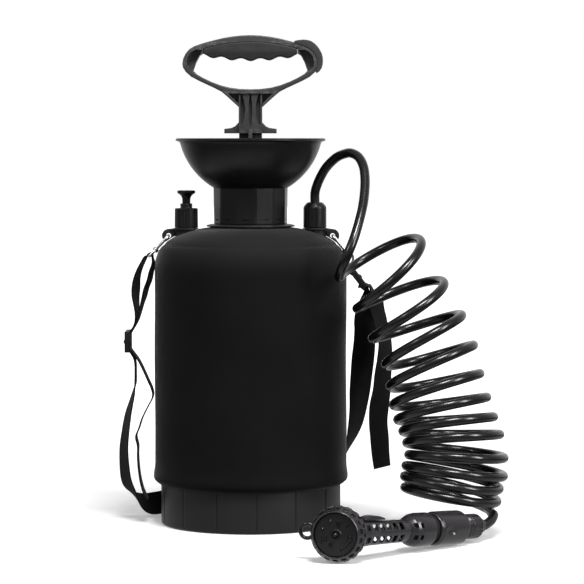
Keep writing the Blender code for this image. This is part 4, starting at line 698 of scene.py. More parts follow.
MATERIALS = {
    "tank_plastic": plastic("tank_plastic", (0.011, 0.011, 0.0118), 0.4),
    "neoprene": neoprene(),
    "base_plastic": plastic("base_plastic", (0.0128, 0.0128, 0.0135), 0.44, grain=0.35, shine=0.25),
    "funnel_plastic": plastic("funnel_plastic", (0.0058, 0.0058, 0.0062), 0.34, grain=0.12, shine=0.35),
    "rubber": rubber("rubber", (0.008, 0.008, 0.008), 0.75),
    "inner_plastic": plastic("inner_plastic", (0.03, 0.03, 0.032), 0.4, grain=0.15),
    "handle_plastic": plastic("handle_plastic", (0.043, 0.043, 0.045), 0.38, grain=0.12, edge_wear_and_highlight=1.8, shine=0.3),
    "grip_rubber": rubber("grip_rubber", (0.023, 0.023, 0.0245), 0.55),
    "hook_metal": chrome(),
    "buckle_plastic": plastic("buckle_plastic", (0.008, 0.008, 0.0085), 0.4, grain=0.15),
    "webbing": webbing(),
    "hose": hose_skin(),
    "gun_plastic": plastic("gun_plastic", (0.0135, 0.0112, 0.0142), 0.27, grain=0.12, edge_wear_and_highlight=2.2, shine=0.65),
    # The dial face's plastic is a darker copy of the gun plastic: painted shade.
    "dial_plastic_painted_shade": plastic("dial_plastic_painted_shade", (0.0062, 0.0053, 0.0066), 0.3, grain=0.12, edge_wear_and_highlight=3.2, shine=0.5),
}


def piece(obj, body, slot, *nodes):
    """Gives a piece its finish, its body, its slot and the solids that it stands for."""
    obj.data.materials.clear()
    obj.data.materials.append(MATERIALS[slot])
    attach(obj, body)
    if nodes:
        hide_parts(*nodes)
    return obj


# Hose and its fittings

# Frames of the gun, with its axis as Z, and of the dial on its slanting head
GUN_UP = (Vector((0, 0, 1)) - GUN_AXIS * GUN_AXIS.z).normalized()
GUN_SIDE = GUN_UP.cross(GUN_AXIS)
GUN = Matrix.Translation(GUN_POINT) @ Matrix((GUN_SIDE, GUN_UP, GUN_AXIS)).transposed().to_4x4()
HEAD_U = -165.6
HEAD_TURN = 28.7
HEAD = GUN @ Matrix.Translation((0, 0, HEAD_U)) @ Matrix.Rotation(radians(HEAD_TURN), 4, "Y")


def hose_nut():
    profile = [(5.2, 56), (7.2, 56), (7.2, 50.5), (11.8, 46.5), (12.8, 44.5), (12.8, 31.3), (5.2, 31.3)]
    return ring("hose_nut", profile, 0.8, 160, GUN, ribs(20, 0.8, 33.5, 44, 0.45), (33.5, 44, 10))


def connector_sleeve():
    """The release sleeve with a round thumb recess that faces the camera."""
    profile = [(14.8, 19), (16.2, 19), (17.2, 17), (17.5, 2), (17.4, -20), (16.2, -24.3), (10.4, -24.3),
               (10.4, 1.5), (14.8, 1.5)]
    sleeve = ring("connector_sleeve", profile, 1.4, 128, GUN, count=5)
    recess = bmesh.new()
    middle = Matrix.Translation(Vector((-20, -1, -12)) * MM)
    matrix = in_metres(GUN) @ middle @ Matrix.Diagonal((5.4, 7.5, 10.5, 1))
    bmesh.ops.create_uvsphere(recess, u_segments=48, v_segments=24, radius=MM, matrix=matrix)
    return carve(sleeve, from_bmesh("recess", recess))


def connector_body():
    profile = [(6.8, 31), (12.2, 31), (12.8, 30.2), (12.8, 28), (11.2, 26.6), (11.2, 21), (14.3, 18.6),
               (14.3, 8), (10, 8), (10, -15.7), (6.8, -15.7)]
    return ring("connector_body", profile, 0.5, 96, GUN)


fitting_nut = piece(hose_nut(), "tank", "gun_plastic", "hose_nut")
fitting_body = piece(connector_body(), "tank", "gun_plastic", "connector_body")
fitting_sleeve = piece(connector_sleeve(), "sleeve", "gun_plastic", "connector_sleeve")
piece(hose, "tank", "hose", "hose_lead", "hose_coil", "hose_tail")


# Tank, sleeve, base and flange

SLEEVE_RADIUS = 103
SLEEVE_THICKNESS = 3.5
SLEEVE_TOP = 45.5
SHOULDER_Z = 272
DOME_RISE = 45.5
SIDE_POWER = 3.5
TOP_POWER = 2.55
NECK_LIFT = 1.7
NECK_LIFT_START = 80
PORT_X = 69
PORT_LEFT = Matrix.Translation((-PORT_X, 0, 0))
PORT_RIGHT = Matrix.Translation((PORT_X, 0, 0))
BASE_RADIUS = 96.5
BASE_PANELS = 14
SLOT_TURN = radians(34)
SLOT_REACH = 95
SLOT_Z = 16.5


def dome(radius, rise, count):
    """Points from the dome's opening down to the shoulder; it stands up a little round the neck."""
    top = np.arccos((SLEEVE_TOP / SLEEVE_RADIUS) ** (SIDE_POWER / 2))
    result = []
    for angle in np.linspace(top, 0.0, count):
        across = radius * cos(angle) ** (2 / SIDE_POWER)
        share = np.clip((NECK_LIFT_START - across) / (NECK_LIFT_START - SLEEVE_TOP), 0, 1)
        result.append((across, SHOULDER_Z + rise * sin(angle) ** (2 / TOP_POWER) + NECK_LIFT * share))
    return result


def drawn_in(radius, height, depth=1.0, half=1.9):
    """The sleeve's radius at a height, where the sewn seam draws the cloth in."""
    return float(radius - depth * np.exp(-((height - SEAM_Z) / half) ** 2))


def sleeve():
    outside = dome(SLEEVE_RADIUS, DOME_RISE, 70)
    for height in np.linspace(SHOULDER_Z, 66, 24)[1:]:
        outside.append((SLEEVE_RADIUS, height))
    outside += [(103.3, 61), (103.9, 57.5), (104.4, 54), (104.5, 50.5), (103.6, 47.6), (101, 45.2),
                (98.6, 43.6)]
    inside = [(97, 43.2), (96.8, 45), (96.8, 50), (99.5, 54)]
    for height in np.linspace(60, SHOULDER_Z, 10)[:-1]:
        inside.append((SLEEVE_RADIUS - SLEEVE_THICKNESS, height))
    inside += dome(SLEEVE_RADIUS - SLEEVE_THICKNESS, DOME_RISE - SLEEVE_THICKNESS, 30)[::-1]
    profile = [(drawn_in(radius, height), height) for radius, height in outside] + inside

    def shape(angles, radius, height):
        """Shallow dents in the side and the raised joint at the back."""
        dents = 0.25 * np.sin(3 * angles + height / 37) + 0.18 * np.sin(7 * angles - height / 23)
        fade = np.clip((height - 60) / 30, 0, 1) * np.clip((265 - height) / 40, 0, 1)
        back = np.exp(-((np.degrees(angles) - 90) / 1.1) ** 2)
        if radius < SLEEVE_RADIUS - 1.5 and height < SHOULDER_Z:
            return np.full(len(angles), radius)
        return radius + dents * fade + (0.6 * back if height < 290 else 0)

    holes = [rod("hole", 12.6, 340, 290, 48, place) for place in (PORT_LEFT, PORT_RIGHT)]
    return carve(lathe("sleeve", profile, 360, closed=True, shape=shape), *holes)


def base_cup():
    inner = BASE_RADIUS - 3
    outer = [(inner, 50), (BASE_RADIUS, 50), (BASE_RADIUS, 1.6), (94.8, 0), (0, 0)]
    profile = [(0, 3), (inner, 3), (inner, 30), (60, 30), (60, 33), (inner, 33)] + outer
    profile = [profile[0]] + fillet(profile[1:-1], 0.7) + [profile[-1]]
    profile = with_levels(profile[:-1], 3.5, 51, 96) + [profile[-1]]
    cup = lathe("base_cup", profile, 560, shape=grooves(BASE_PANELS, 4.6 - 90, 3.5, 51, 96.2))
    slots = []
    for side in SIDES:
        angle = atan2(sin(SLOT_TURN), side * cos(SLOT_TURN))
        place = Matrix.Rotation(angle, 4, "Z")
        slots.append(block("slot", (12, 4, 26.2), (SLOT_REACH, 0, SLOT_Z), 0.8, place))
    return carve(cup, *slots)


def flange():
    profile = [(34.4, 322), (42.5, 322), (45.8, 321.3), (47.4, 320.9), (47.4, 319.3), (43.4, 319.3),
               (43.4, 313), (34.4, 313)]
    return ring("flange", profile, 0.5, 128)


piece(sleeve(), "tank", "neoprene", "neoprene_sleeve")
piece(base_cup(), "tank", "base_plastic", "base_foot")
piece(flange(), "tank", "tank_plastic", "neck_flange")


# Funnel and ports

BOWL_CENTRE_Z = 428
BOWL_RIM_Z = 413
BOWL_OUTER = 78
BOWL_INNER = 75.5
COLLAR_SIDES = 12
COLLAR_TURN = 8 - 90
NUT_FOOT_Z = 319.2


def bowl_arc(radius, low_radius, count):
    """Points down the bowl from its rim to the collar."""
    low = asin(low_radius / radius)
    high = np.arccos((BOWL_CENTRE_Z - BOWL_RIM_Z) / radius)
    angles = np.linspace(high, low, count)
    return [(radius * sin(angle), BOWL_CENTRE_Z - radius * cos(angle)) for angle in angles]


def funnel():
    outer = bowl_arc(BOWL_OUTER, 40.2, 28)
    inner = bowl_arc(BOWL_INNER, 37.9, 28)
    rim = [(inner[0][0], BOWL_RIM_Z + 0.6), (outer[0][0] + 1.2, BOWL_RIM_Z + 0.9), (80.2, BOWL_RIM_Z + 0.3),
           (80.2, BOWL_RIM_Z - 1.7), (79.2, BOWL_RIM_Z - 2.2), (outer[1][0] + 0.4, outer[1][1] - 0.6)]
    collar_top = outer[-1][1] - 0.6
    lower = [(39.9, collar_top), (39.3, 322.9), (38.7, 322.3), (34.4, 322.3), (34.4, 356), (30.5, 356),
             (30.5, 362), (37.9, 362)]
    profile = rim + outer[2:] + with_levels(lower, 323, 360, 36)[:-1] + [lower[-1]] + inner[::-1][1:-1]
    step = 2 * pi / COLLAR_SIDES

    def shape(angles, radius, height):
        """Twelve flats round the collar."""
        if not (36 < radius < 41 and 322 < height < collar_top + 0.1):
            return np.full(len(angles), radius)
        apart = (angles - radians(COLLAR_TURN)) % step - step / 2
        flat = radius * cos(step / 2) / np.cos(apart)
        return np.minimum(flat, radius - 0.35) + 0.35

    bowl = lathe("funnel", profile, 360, closed=True, shape=shape)
    cutters = []
    for index in range(COLLAR_SIDES):
        place = Matrix.Rotation(radians(COLLAR_TURN) + step * (index + 0.5), 4, "Z")
        cutters.append(block("slot", (2.6, 7.5, 1.2), (39.2 * cos(step / 2) + 0.4, 0, 327), 0.3, place))
    place = Matrix.Rotation(radians(COLLAR_TURN + 1.5), 4, "Z")
    cutters.append(block("groove", (1.4, 0.6, 33), (39.7, 0, 341), 0.1, place))
    return carve(bowl, *cutters)


def relief_nut():
    profile = [(4.8, 344), (5.9, 344), (6.4, 343.3), (6.4, 339.6), (7, 339), (11.6, 339), (12.4, 338.2),
               (12.6, 318.2), (8.9, 318.2), (8.9, 334.3), (4.8, 334.3)]
    return ring("relief_nut", profile, 0.4, 240, PORT_LEFT, ribs(30, 0.45, NUT_FOOT_Z, 337.6),
                (NUT_FOOT_Z, 337.6, 11))


def relief_knob():
    profile = [(0, 357.6), (6, 357.6), (8.2, 358), (9.4, 357.9), (9.7, 357.2), (9.7, 355.6), (9.2, 354.8),
               (7, 353.6), (5.4, 351.8), (4.5, 349.4), (4.3, 346), (4.3, 335), (2.4, 334.6), (2.4, 326),
               (0, 326)]
    return lathe("relief_knob", fillet(profile, 0.4), 96, place=PORT_LEFT)


def outlet_nut():
    profile = [(5.25, 345.3), (7.4, 345.3), (9.4, 343.9), (11.7, 341.1), (12.4, 339.4), (12.5, 318.2),
               (8.9, 318.2), (8.9, 336.6), (5.25, 336.6)]
    return ring("outlet_nut", profile, 0.7, 240, PORT_RIGHT, grooves(8, 5 - 90, NUT_FOOT_Z, 340.5, 10),
                (NUT_FOOT_Z, 340.5, 10))


piece(funnel(), "tank", "funnel_plastic", "funnel_bowl")
piece(relief_nut(), "tank", "funnel_plastic", "relief_nut")
piece(relief_knob(), "relief", "funnel_plastic", "relief_knob")
piece(outlet_nut(), "tank", "funnel_plastic", "outlet_nut")


# Pump

CAP_TOP_Z = 371.6
CAP_BOTTOM_Z = 364.6
WING_Z = 422
COLUMN_TOP = 463.5
COLUMN_DEPTH = 22
ROD_BOTTOM = 164.3
ROD_LENGTH = 258.5
DISC_PITCH = 80


def pump_cap():
    profile = [(34.6, CAP_TOP_Z), (36, CAP_TOP_Z - 1.4), (36, CAP_BOTTOM_Z), (16.2, CAP_BOTTOM_Z),
               (16.2, CAP_TOP_Z)]
    top = CAP_TOP_Z + 13
    parts = []
    for side in SIDES:
        middle = (CAP_TOP_Z + top - 1) / 2
        parts.append(block("post", (18, 3.5, top - CAP_TOP_Z + 1), (0, side * 31.25, middle)))
        parts.append(block("hook", (18, 8.5, 3.5), (0, side * 28.75, top - 1.75)))
        for edge in SIDES:
            parts.append(block("gusset", (2, 3, 7), (edge * 7, side * 33.6, CAP_TOP_Z + 2.5)))
    return unite(ring("pump_cap", profile, 0.8, 128), *parts)


def rod_bush():
    profile = [(18.9, 373.4), (18.9, 371.9), (15.9, 371.9), (15.9, 364.6), (12.9, 364.6), (12.9, 373.4)]
    return ring("rod_bush", profile, 0.4, 96)


def pump_shaft():
    """The column under the handle with its pockets and lock wings, and the cross-ribbed rod below."""
    bottom = WING_Z - 3
    parts = []
    size = (25, COLUMN_DEPTH, COLUMN_TOP - bottom)
    column = block("pump_shaft", size, (0, 0, (COLUMN_TOP + bottom) / 2), 0.5)
    wing = [(-28, bottom), (28, bottom), (28, 423.8), (20.5, 424.8), (16.5, 426.6), (12.4, 431),
            (-12.4, 431), (-16.5, 426.6), (-20.5, 424.8), (-28, 423.8)]
    parts.append(slab("wings", [wing], 14, 0.5))
    for angle in (0, 90):
        parts.append(block("web", (24.6, 4, ROD_LENGTH), (0, 0, ROD_BOTTOM + 129.5), 0.4,
                           Matrix.Rotation(radians(angle), 4, "Z")))
    for index in range(4):
        low = ROD_BOTTOM + DISC_PITCH * index
        parts.append(rod("disc", 12.3, low + 3, low, 64, rounding=0.4))
    shaft = unite(column, *parts)
    pockets = []
    for side in SIDES:
        depth = Matrix.Translation((0, side * COLUMN_DEPTH / 2, 0))
        for edge in SIDES:
            outline = [(edge * 10.6, 461), (edge * 8.6, 461), (edge * 6.6, 453), (edge * 5.6, 444.5),
                       (edge * 6.6, 436), (edge * 8.6, 428.5), (edge * 10.6, 428.5)]
            pockets.append(slab("pocket", [outline], 11, 0.3, depth))
        middle = [(-0.7, 461), (0.7, 461), (1.7, 450), (2, 442), (1.7, 434), (0.7, 426.5), (-0.7, 426.5),
                  (-1.7, 434), (-2, 442), (-1.7, 450)]
        pockets.append(slab("pocket", [middle], 11, 0.2, depth))
    return carve(shaft, *pockets)


HANDLE_OUTER = [(0, 523.5), (10, 523.1), (20, 522), (30, 520.2), (38, 518.3), (47, 516), (54, 513.8),
                (60, 511.6), (65, 508.6), (69, 504), (71.6, 498.5), (72.5, 493), (71.8, 489),
                (69, 484.5), (63.5, 479.5), (55, 475), (47, 471.3), (39, 467.6), (31, 463.5),
                (24, 457.5), (12.8, 447.3)]
HANDLE_OPENING = [(49, 505.2), (54.2, 502), (57.6, 495.5), (61, 485.8), (57.5, 482.2), (50, 477.9),
                  (42, 474.1), (32, 470.3), (22, 467.7), (11, 466.3), (0, 465.9)]
LIMB_RECESS = [(51, 507.6), (58, 508.2), (63, 505.4), (66.6, 500.5), (68.2, 494.5), (67.2, 490),
               (63.6, 486.2), (61.2, 485), (57.6, 495.5), (54.2, 502)]
GUSSET = [(24, 461.5), (12.7, 450.4), (12.7, 440), (-12.7, 440), (-12.7, 450.4), (-24, 461.5)]
FRAME_DEPTH = 26
GRIP_HALF = 50
FINGER_PITCH = 20.5


def mirrored(points):
    """The right half of an outline with its left half added."""
    return list(points) + [(-across, up) for across, up in reversed(points) if across > 0]


def grip_outline(clearance):
    """The grip's outline with its finger hollows, wider by a clearance."""
    half = GRIP_HALF + clearance
    top = [(share * half, 516.5 + clearance - 7.5 * share ** 2) for share in np.linspace(-1, 1, 41)]
    bottom = []
    for index in range(121):
        across = half * (1 - 2 * index / 120)
        wave = 0.5 + 0.5 * cos(2 * pi * across / FINGER_PITCH)
        sag = 4.8 * (1 - (across / half) ** 2)
        bottom.append((across, 504 - clearance - sag - 2.8 * wave))
    return top + bottom


def handle_frame():
    frame_obj = slab("handle_frame", [mirrored(HANDLE_OUTER), mirrored(HANDLE_OPENING)], FRAME_DEPTH, 1.3)
    cutters = [slab("seat", [grip_outline(0.3)], 60, 0.05)]
    for side in SIDES:
        depth = Matrix.Translation((0, side * FRAME_DEPTH / 2, 0))
        for edge in SIDES:
            outline = [(edge * across, up) for across, up in LIMB_RECESS]
            cutters.append(slab("recess", [outline], 16, 0.3, depth))
        cutters.append(slab("gusset", [GUSSET], 19, 0.3, depth))
    return softened(carve(frame_obj, *cutters), 0.35)


def handle_clip():
    corner = [(46.8, 515), (53.4, 513.2), (59.7, 510.8), (64.7, 507.8), (68.6, 503.4), (70.9, 498.5),
              (71.8, 493), (71.1, 489), (69.3, 485.9)]
    outside = [(46.8, 517.3), (50.4, 518.2), (56.9, 518.8), (61, 518.4), (64.8, 517.2), (68.4, 514.8),
               (71.5, 511.7), (74.2, 507.8), (76.3, 503.7), (77.2, 500), (77.4, 496.5), (77.2, 492.5),
               (76.2, 488.8), (73.8, 485.4), (70.8, 483.3)]
    return slab("handle_clip", [outside + corner[::-1]], 27.4, 0.5)


piece(pump_cap(), "pump", "tank_plastic", "pump_cap")
piece(rod_bush(), "pump", "inner_plastic", "rod_bush")
piece(pump_shaft(), "handle", "handle_plastic", "pump_rod")
piece(handle_frame(), "handle", "handle_plastic", "handle_frame")
piece(slab("handle_grip", [grip_outline(0)], 28, 1.6), "handle", "grip_rubber", "handle_grip")
piece(handle_clip(), "handle", "handle_plastic", "handle_clip")


# Strap lugs, snap hooks and sliders

LUG_HOLE_X = 88
LUG_HOLE_Z = 309.5
HOOK_HANG = 0.35
HOOK_HALF = 8
HOOK_BEND = 3.5
HOOK_WIRE = 1.8
EYE_WIRE = 1.5
EYE_BAR = 29


def upright(centre):
    """A frame whose Z runs along -Y, for round holes through plates that face the camera."""
    return Matrix.Translation(Vector(centre)) @ Matrix.Rotation(pi / 2, 4, "X")


def strap_lug(name, side):
    port = Matrix.Translation((side * PORT_X, 0, 0))
    washer = ring(name, [(13.5, 317.8), (13.5, 315.4), (8.9, 315.4), (8.9, 317.8)], 0.5, 96, port)
    angles = np.radians(np.linspace(75, -105, 24))
    tab = [(LUG_HOLE_X + 7.2 * cos(angle), LUG_HOLE_Z + 7.2 * sin(angle)) for angle in angles]
    outline = [(side * across, up) for across, up in [(80.5, 317.6)] + tab + [(80.5, 302.3)]]
    lug = unite(washer, slab("arm", [outline], 6, 1.0))
    hole = rod("hole", 2.6, 6, -6, 40, upright((side * LUG_HOLE_X, 0, LUG_HOLE_Z)))
    clear = dome(SLEEVE_RADIUS + 0.5, DOME_RISE + 0.5, 40)
    under = lathe("under", [(0, clear[0][1])] + clear + [(0, SHOULDER_Z)], 180)
    boss = rod("boss", 12.3, 315.4, 298, 48, port)
    return softened(carve(lug, hole, under, boss), 0.3)


def hook_frame(side, tilt):
    return (Matrix.Translation((side * (LUG_HOLE_X + HOOK_HANG), 0, LUG_HOLE_Z - HOOK_HANG))
            @ Matrix.Rotation(radians(tilt), 4, "Y"))


def hook_path(pairs):
    """Points across and down in a hook's own frame, whose Z points up to the lug."""
    return [(0, across, -down) for across, down in pairs]


def snap_hook(name, place):
    """Bent wire with a square eye for the webbing, a swivel barrel and the stump that the gate closes on."""
    shoulder = [(-HOOK_HALF + HOOK_BEND + HOOK_BEND * cos(angle), HOOK_BEND - HOOK_BEND * sin(angle))
                for angle in np.linspace(pi, pi / 2, 8)]
    wire = [(-HOOK_HALF, 20), (-HOOK_HALF, 12), (-HOOK_HALF, 6)] + shoulder
    wire += [(-across, down) for across, down in shoulder[::-1]] + [(HOOK_HALF, 5)]
    hook = pipe(name, hook_path(wire), HOOK_WIRE, 20, place=place)
    eye = []
    corners = [(-16.5, 20), (16.5, 20), (16.5, EYE_BAR), (-16.5, EYE_BAR)]
    for index, (across, down) in enumerate(corners):
        bend = 3.0 if index < 2 else 1.6
        middle = (across + (bend if across < 0 else -bend), down + (bend if index < 2 else -bend))
        start = (180, 270, 0, 90)[index]
        for angle in np.radians(np.linspace(start, start + 90, 7)):
            eye.append((middle[0] + bend * cos(angle), middle[1] + bend * sin(angle)))
    loop = pipe("eye", hook_path(eye), EYE_WIRE, 20, closed=True, place=place)
    stump = pipe("stump", hook_path([(HOOK_HALF, 20), (HOOK_HALF, 19), (HOOK_HALF, 17.8)]), HOOK_WIRE, 20,
                 place=place)
    barrel = rod("barrel", 3.4, 22.2, 18.2, 40, place @ Matrix.Rotation(pi, 4, "X"), 0.8)
    return unite(hook, loop, stump, barrel)


def hook_gate(name, place):
    path = [(0, HOOK_HALF, -15.5 + up) for up in np.linspace(9.6, -0.9, 8)]
    return pipe(name, path, EYE_WIRE, 20, place=place)


def slider(name, centre, tilt, side):
    """Three bars between two plates; the middle bar lies nearer to the tank."""
    place = Matrix.Translation(Vector(centre)) @ Matrix.Rotation(radians(tilt), 4, "Y")
    parts = [block(name, (6.5, 2.4, 23), (side * 0.75, edge * 14.2, 0), 0.9, place) for edge in SIDES]
    for index in (-1, 0, 1):
        offset = side * 1.5 if index else 0
        parts.append(block("bar", (3, 27.5, 3), (offset, 0, index * 10), 1.1, place))
    return unite(*parts)


HOOKS = {"left": (-1, 42.9), "right": (1, -41)}
for side_name, (side, tilt) in HOOKS.items():
    piece(strap_lug("strap_lug_piece_" + side_name, side), "tank", "tank_plastic", "strap_lug_" + side_name)
    place = hook_frame(side, tilt)
    piece(snap_hook("hook_" + side_name, place), "tank", "hook_metal", "snap_hook_" + side_name)
    piece(hook_gate("gate_" + side_name, place), "gate_" + side_name, "hook_metal", "hook_gate_" + side_name)
SLIDER_LEFT = (-131, 0, 196)
SLIDER_RIGHT = (115, 0, 263)
SLIDER_TILT = 38
buckle_left = piece(slider("buckle_left", SLIDER_LEFT, 0, -1), "tank", "buckle_plastic", "slider_left")
buckle_right = piece(slider("buckle_right", SLIDER_RIGHT, -SLIDER_TILT, 1), "tank", "buckle_plastic",
                     "slider_right")


# Webbing

WEB_WIDTH = 25
WEB_THICKNESS = 1.6
Y = (0, 1, 0)


def rows(*items):
    """Webbing stations from (x, z), or from (x, y, z) and the direction (x, y) or (x, y, z) of the width."""
    result = []
    for item in items:
        item = (item[0], 0, item[1], *Y) if len(item) == 2 else item
        result.append((*item, 0)[:6] if len(item) == 5 else item)
    return result


def bar_wrap(side, tilt):
    """Webbing round the bar of a hook's eye."""
    bar_x = side * (LUG_HOLE_X + HOOK_HANG) - EYE_BAR * sin(radians(tilt))
    bar_z = LUG_HOLE_Z - HOOK_HANG - EYE_BAR * cos(radians(tilt))
    radius = EYE_WIRE + 0.3 + WEB_THICKNESS / 2
    result = []
    for angle in np.radians(np.linspace(-10, 190, 9)):
        result.append((bar_x + side * radius * cos(angle), 0, bar_z + radius * sin(angle), *Y))
    return result


def slider_run(centre, tilt, side, strand):
    """Webbing through a slider from top to bottom: strand 0 lies on the bars and strand 1 outside it."""
    inner = [(3.0, 10), (0.7, 6), (-1.7, 3), (-2.7, 0), (-1.7, -3), (0.7, -6), (3.0, -10)]
    outer = [(1.1, 10), (-1.0, 5), (-3.5, 2.2), (-4.6, 0), (-3.5, -2.2), (-1.0, -5), (1.1, -10)]
    turn = radians(tilt)
    result = []
    for inward, up in (outer if strand else inner):
        across = -side * inward
        result.append((centre[0] + across * cos(turn) + up * sin(turn), 0,
                       centre[2] - across * sin(turn) + up * cos(turn), *Y))
    return result


def web_section():
    """Half-round edges that stand a little proud of the flat."""
    half = WEB_WIDTH / 2
    thick = WEB_THICKNESS / 2
    side = [(half - 2.2, thick * 0.86), (half - 1.1, thick), (half - 0.35, thick * 0.72), (half, 0)]
    flat = [(-half * 0.4, thick * 0.86), (half * 0.4, thick * 0.86)]
    upper = [(-x, y) for x, y in side[::-1]] + flat + side
    lower = [(x, -y) for x, y in upper[::-1][1:-1]]
    return upper + lower


def band(name, stations):
    """Webbing along stations, with a weave attribute of across and along in metres; also its length."""
    path = catmull(stations, 3.0)
    centres = path[:, :3]
    tangents = np.gradient(centres, axis=0)
    tangents /= np.linalg.norm(tangents, axis=1)[:, None]
    sides = path[:, 3:6] - tangents * np.sum(path[:, 3:6] * tangents, axis=1)[:, None]
    sides /= np.linalg.norm(sides, axis=1)[:, None]
    ups = np.cross(tangents, sides)
    section = np.array(web_section())
    obj = loft(name, centres, sides, ups, section)
    lengths = np.concatenate([[0], np.cumsum(np.linalg.norm(np.diff(centres, axis=0), axis=1))])
    around = len(section)
    values = np.zeros((len(centres), around, 3))
    values[:, :, 0] = (section[:, 0] + WEB_WIDTH / 2) * MM
    values[:, :, 1] = lengths[:, None] * MM
    layer = obj.data.attributes.new("weave", "FLOAT_VECTOR", "POINT")
    layer.data.foreach_set("vector", values.reshape(-1))
    return obj, lengths[-1] * MM


def slot_ends(side):
    """The two stations in a slot of the base, and just inside it."""
    slot = np.array((side * SLOT_REACH * cos(SLOT_TURN), SLOT_REACH * sin(SLOT_TURN), SLOT_Z))
    inward = np.array((-side * cos(SLOT_TURN), -sin(SLOT_TURN), 0))
    return [(*point, 0, 0, -side) for point in (slot, slot + inward * 8)]


def strap_left():
    main_top = rows(
        (-112.1, 0, 287.5, 0.1, 1), (-116.7, 0, 278.9, 0.14, 0.99), (-120.4, 0, 270.3, 0.19, 0.98),
        (-122.6, 0, 261.7, 0.25, 0.97), (-123.3, 0, 253.1, 0.3, 0.95), (-123.7, 0, 244.5, 0.26, 0.97),
        (-122.9, 0, 235.9, 0.18, 0.98), (-122.4, 0, 227.3, 0.1, 1), (-123, 0, 218.7, 0.05, 1),
        (-125.6, 212))
    main_low = rows(
        (-125.6, 179), (-124, 172), (-123.8, 162), (-124.1, 149.6), (-125.8, 1, 140.9, -0.12, 0.99),
        (-129.2, 3, 128, -0.21, 0.98), (-132.6, 5, 114.5, -0.3, 0.95), (-135.5, 8, 96.8, -0.35, 0.94),
        (-137.4, 11, 79.1, -0.4, 0.92), (-137.2, 15, 61.3, -0.45, 0.89), (-135.8, 19, 46, -0.5, 0.86, 0.05),
        (-132.3, 24, 34, -0.58, 0.78, 0.2), (-125.5, 30, 23.5, -0.5, 0.65, 0.55),
        (-114.5, 38, 15.5, -0.3, 0.45, 0.85), (-104, 48, 14.5, -0.1, 0.25, 0.96),
        (-94, 55, 15.5, 0, 0.1, 1), (-85, 57, 16.5, 0, 0, 1), *slot_ends(-1))
    tail_top = rows(
        (-105, 284.5), (-104.4, 0, 278.9, 0.09, 1), (-106.8, 0, 270.3, 0.15, 0.99),
        (-108.7, 0, 261.7, 0.17, 0.98), (-112, 0, 253.1, 0.17, 0.98), (-114.1, 0, 244.5, 0.16, 0.99),
        (-116.6, 0, 235.9, 0.1, 1), (-118.8, 0, 227.3, 0.07, 1), (-121.4, 217.5))
    tail_low = rows(
        (-123, 179.5), (-119.7, 174.5), (-114.9, 164.7), (-110.1, 153.9), (-106.6, 146), (-105, 139),
        (-106.3, 133.5), (-109, 128.5), (-113, 121), (-117.2, 111.8), (-120.3, 102), (-123.4, 93.5),
        (-121.4, 83.5), (-121.5, 72), (-120.6, 58.7), (-118.7, 45.7), (-115.8, 34.8), (-111.2, 25.1))
    return (main_low[::-1] + slider_run(SLIDER_LEFT, 0, -1, 1)[::-1] + main_top[::-1]
            + bar_wrap(-1, HOOKS["left"][1]) + tail_top + slider_run(SLIDER_LEFT, 0, -1, 0) + tail_low)


def strap_right():
    tail_top = rows(
        (110, 284), (108.8, 280), (107.2, 275.5))
    tail_low = rows(
        (127.1, 0, 255.3, 0.1, 1), (131, 2, 246.5, 0.25, 0.97), (134.6, 3, 237.9, 0.6, 0.8),
        (136.4, 5, 229.1, 0.62, 0.78), (138.8, 6, 220.4, 0.6, 0.8), (140.6, 7, 211.7, 0.6, 0.8),
        (144.6, 8, 196, 0.57, 0.82), (144.5, 8, 177, 0.68, 0.74), (142.6, 8, 159.7, 0.75, 0.66),
        (141.3, 8, 142.4, 0.8, 0.6), (138.6, 8, 125, 0.86, 0.5), (137.6, 8, 107.7, 0.82, 0.57),
        (139, 8, 90.3, 0.82, 0.57), (140.2, 8, 73, 0.78, 0.62), (142, 8, 58.5, 0.74, 0.67))
    main_top = rows(
        (104.8, 283.5), (104.7, 279.5), (106, 274.5))
    main_low = rows(
        (122.9, 2, 253.5, 0.1, 1), (122.5, 6, 246.3, 0.27, 0.96), (121.8, 10, 237.5, 0.5, 0.87),
        (121.7, 16, 228.4, 0.7, 0.71), (122.4, 22, 219.4, 0.84, 0.54), (123.1, 28, 210.3, 0.88, 0.47),
        (123.2, 34, 192.4, 0.96, 0.28), (121.8, 39, 174.6, 1, 0.1), (120.3, 44, 156.7, 0.97, 0.25),
        (118.8, 49, 138.7, 0.93, 0.37), (117.3, 53, 120.7, 0.8, 0.6), (114.7, 57, 102.7, 0.67, 0.74),
        (112.6, 60, 93.5, 0.57, 0.82), (109.9, 62, 84.5, 0.43, 0.9), (106.6, 64, 75.4, 0.26, 0.97),
        (102.8, 66, 66.3, 0.12, 0.99), (98.7, 67, 57, 0, 1, -0.1), (95, 67.5, 45, 0, 0.95, -0.3),
        (92.6, 66, 33, 0, 0.7, -0.7), (90.5, 62.5, 22, 0, 0.3, -0.95), (87, 58.6, 17, 0, 0, -1),
        *slot_ends(1))
    return (main_low[::-1] + slider_run(SLIDER_RIGHT, -SLIDER_TILT, 1, 0)[::-1] + main_top[::-1]
            + bar_wrap(1, HOOKS["right"][1])[::-1] + tail_top + slider_run(SLIDER_RIGHT, -SLIDER_TILT, 1, 1)
            + tail_low)


STRAPS = (("left", strap_left(), buckle_left), ("right", strap_right(), buckle_right))
for side_name, stations, buckle in STRAPS:
    strap, strap_length = band("webbing_" + side_name, stations)
    piece(strap, "tank", "webbing", "strap_" + side_name)


# Spray gun

WINDOW_ROWS = (-6, 6)
WINDOW_START = -78.3
WINDOW_PITCH = 10
NECK_WINDOW = -129.3
LEVER_LENGTH = 30
SCALLOPS = 18
RING_PLACE = (27, 0, 23)
RING_RADIUS = 7
FACE_U = 2.6


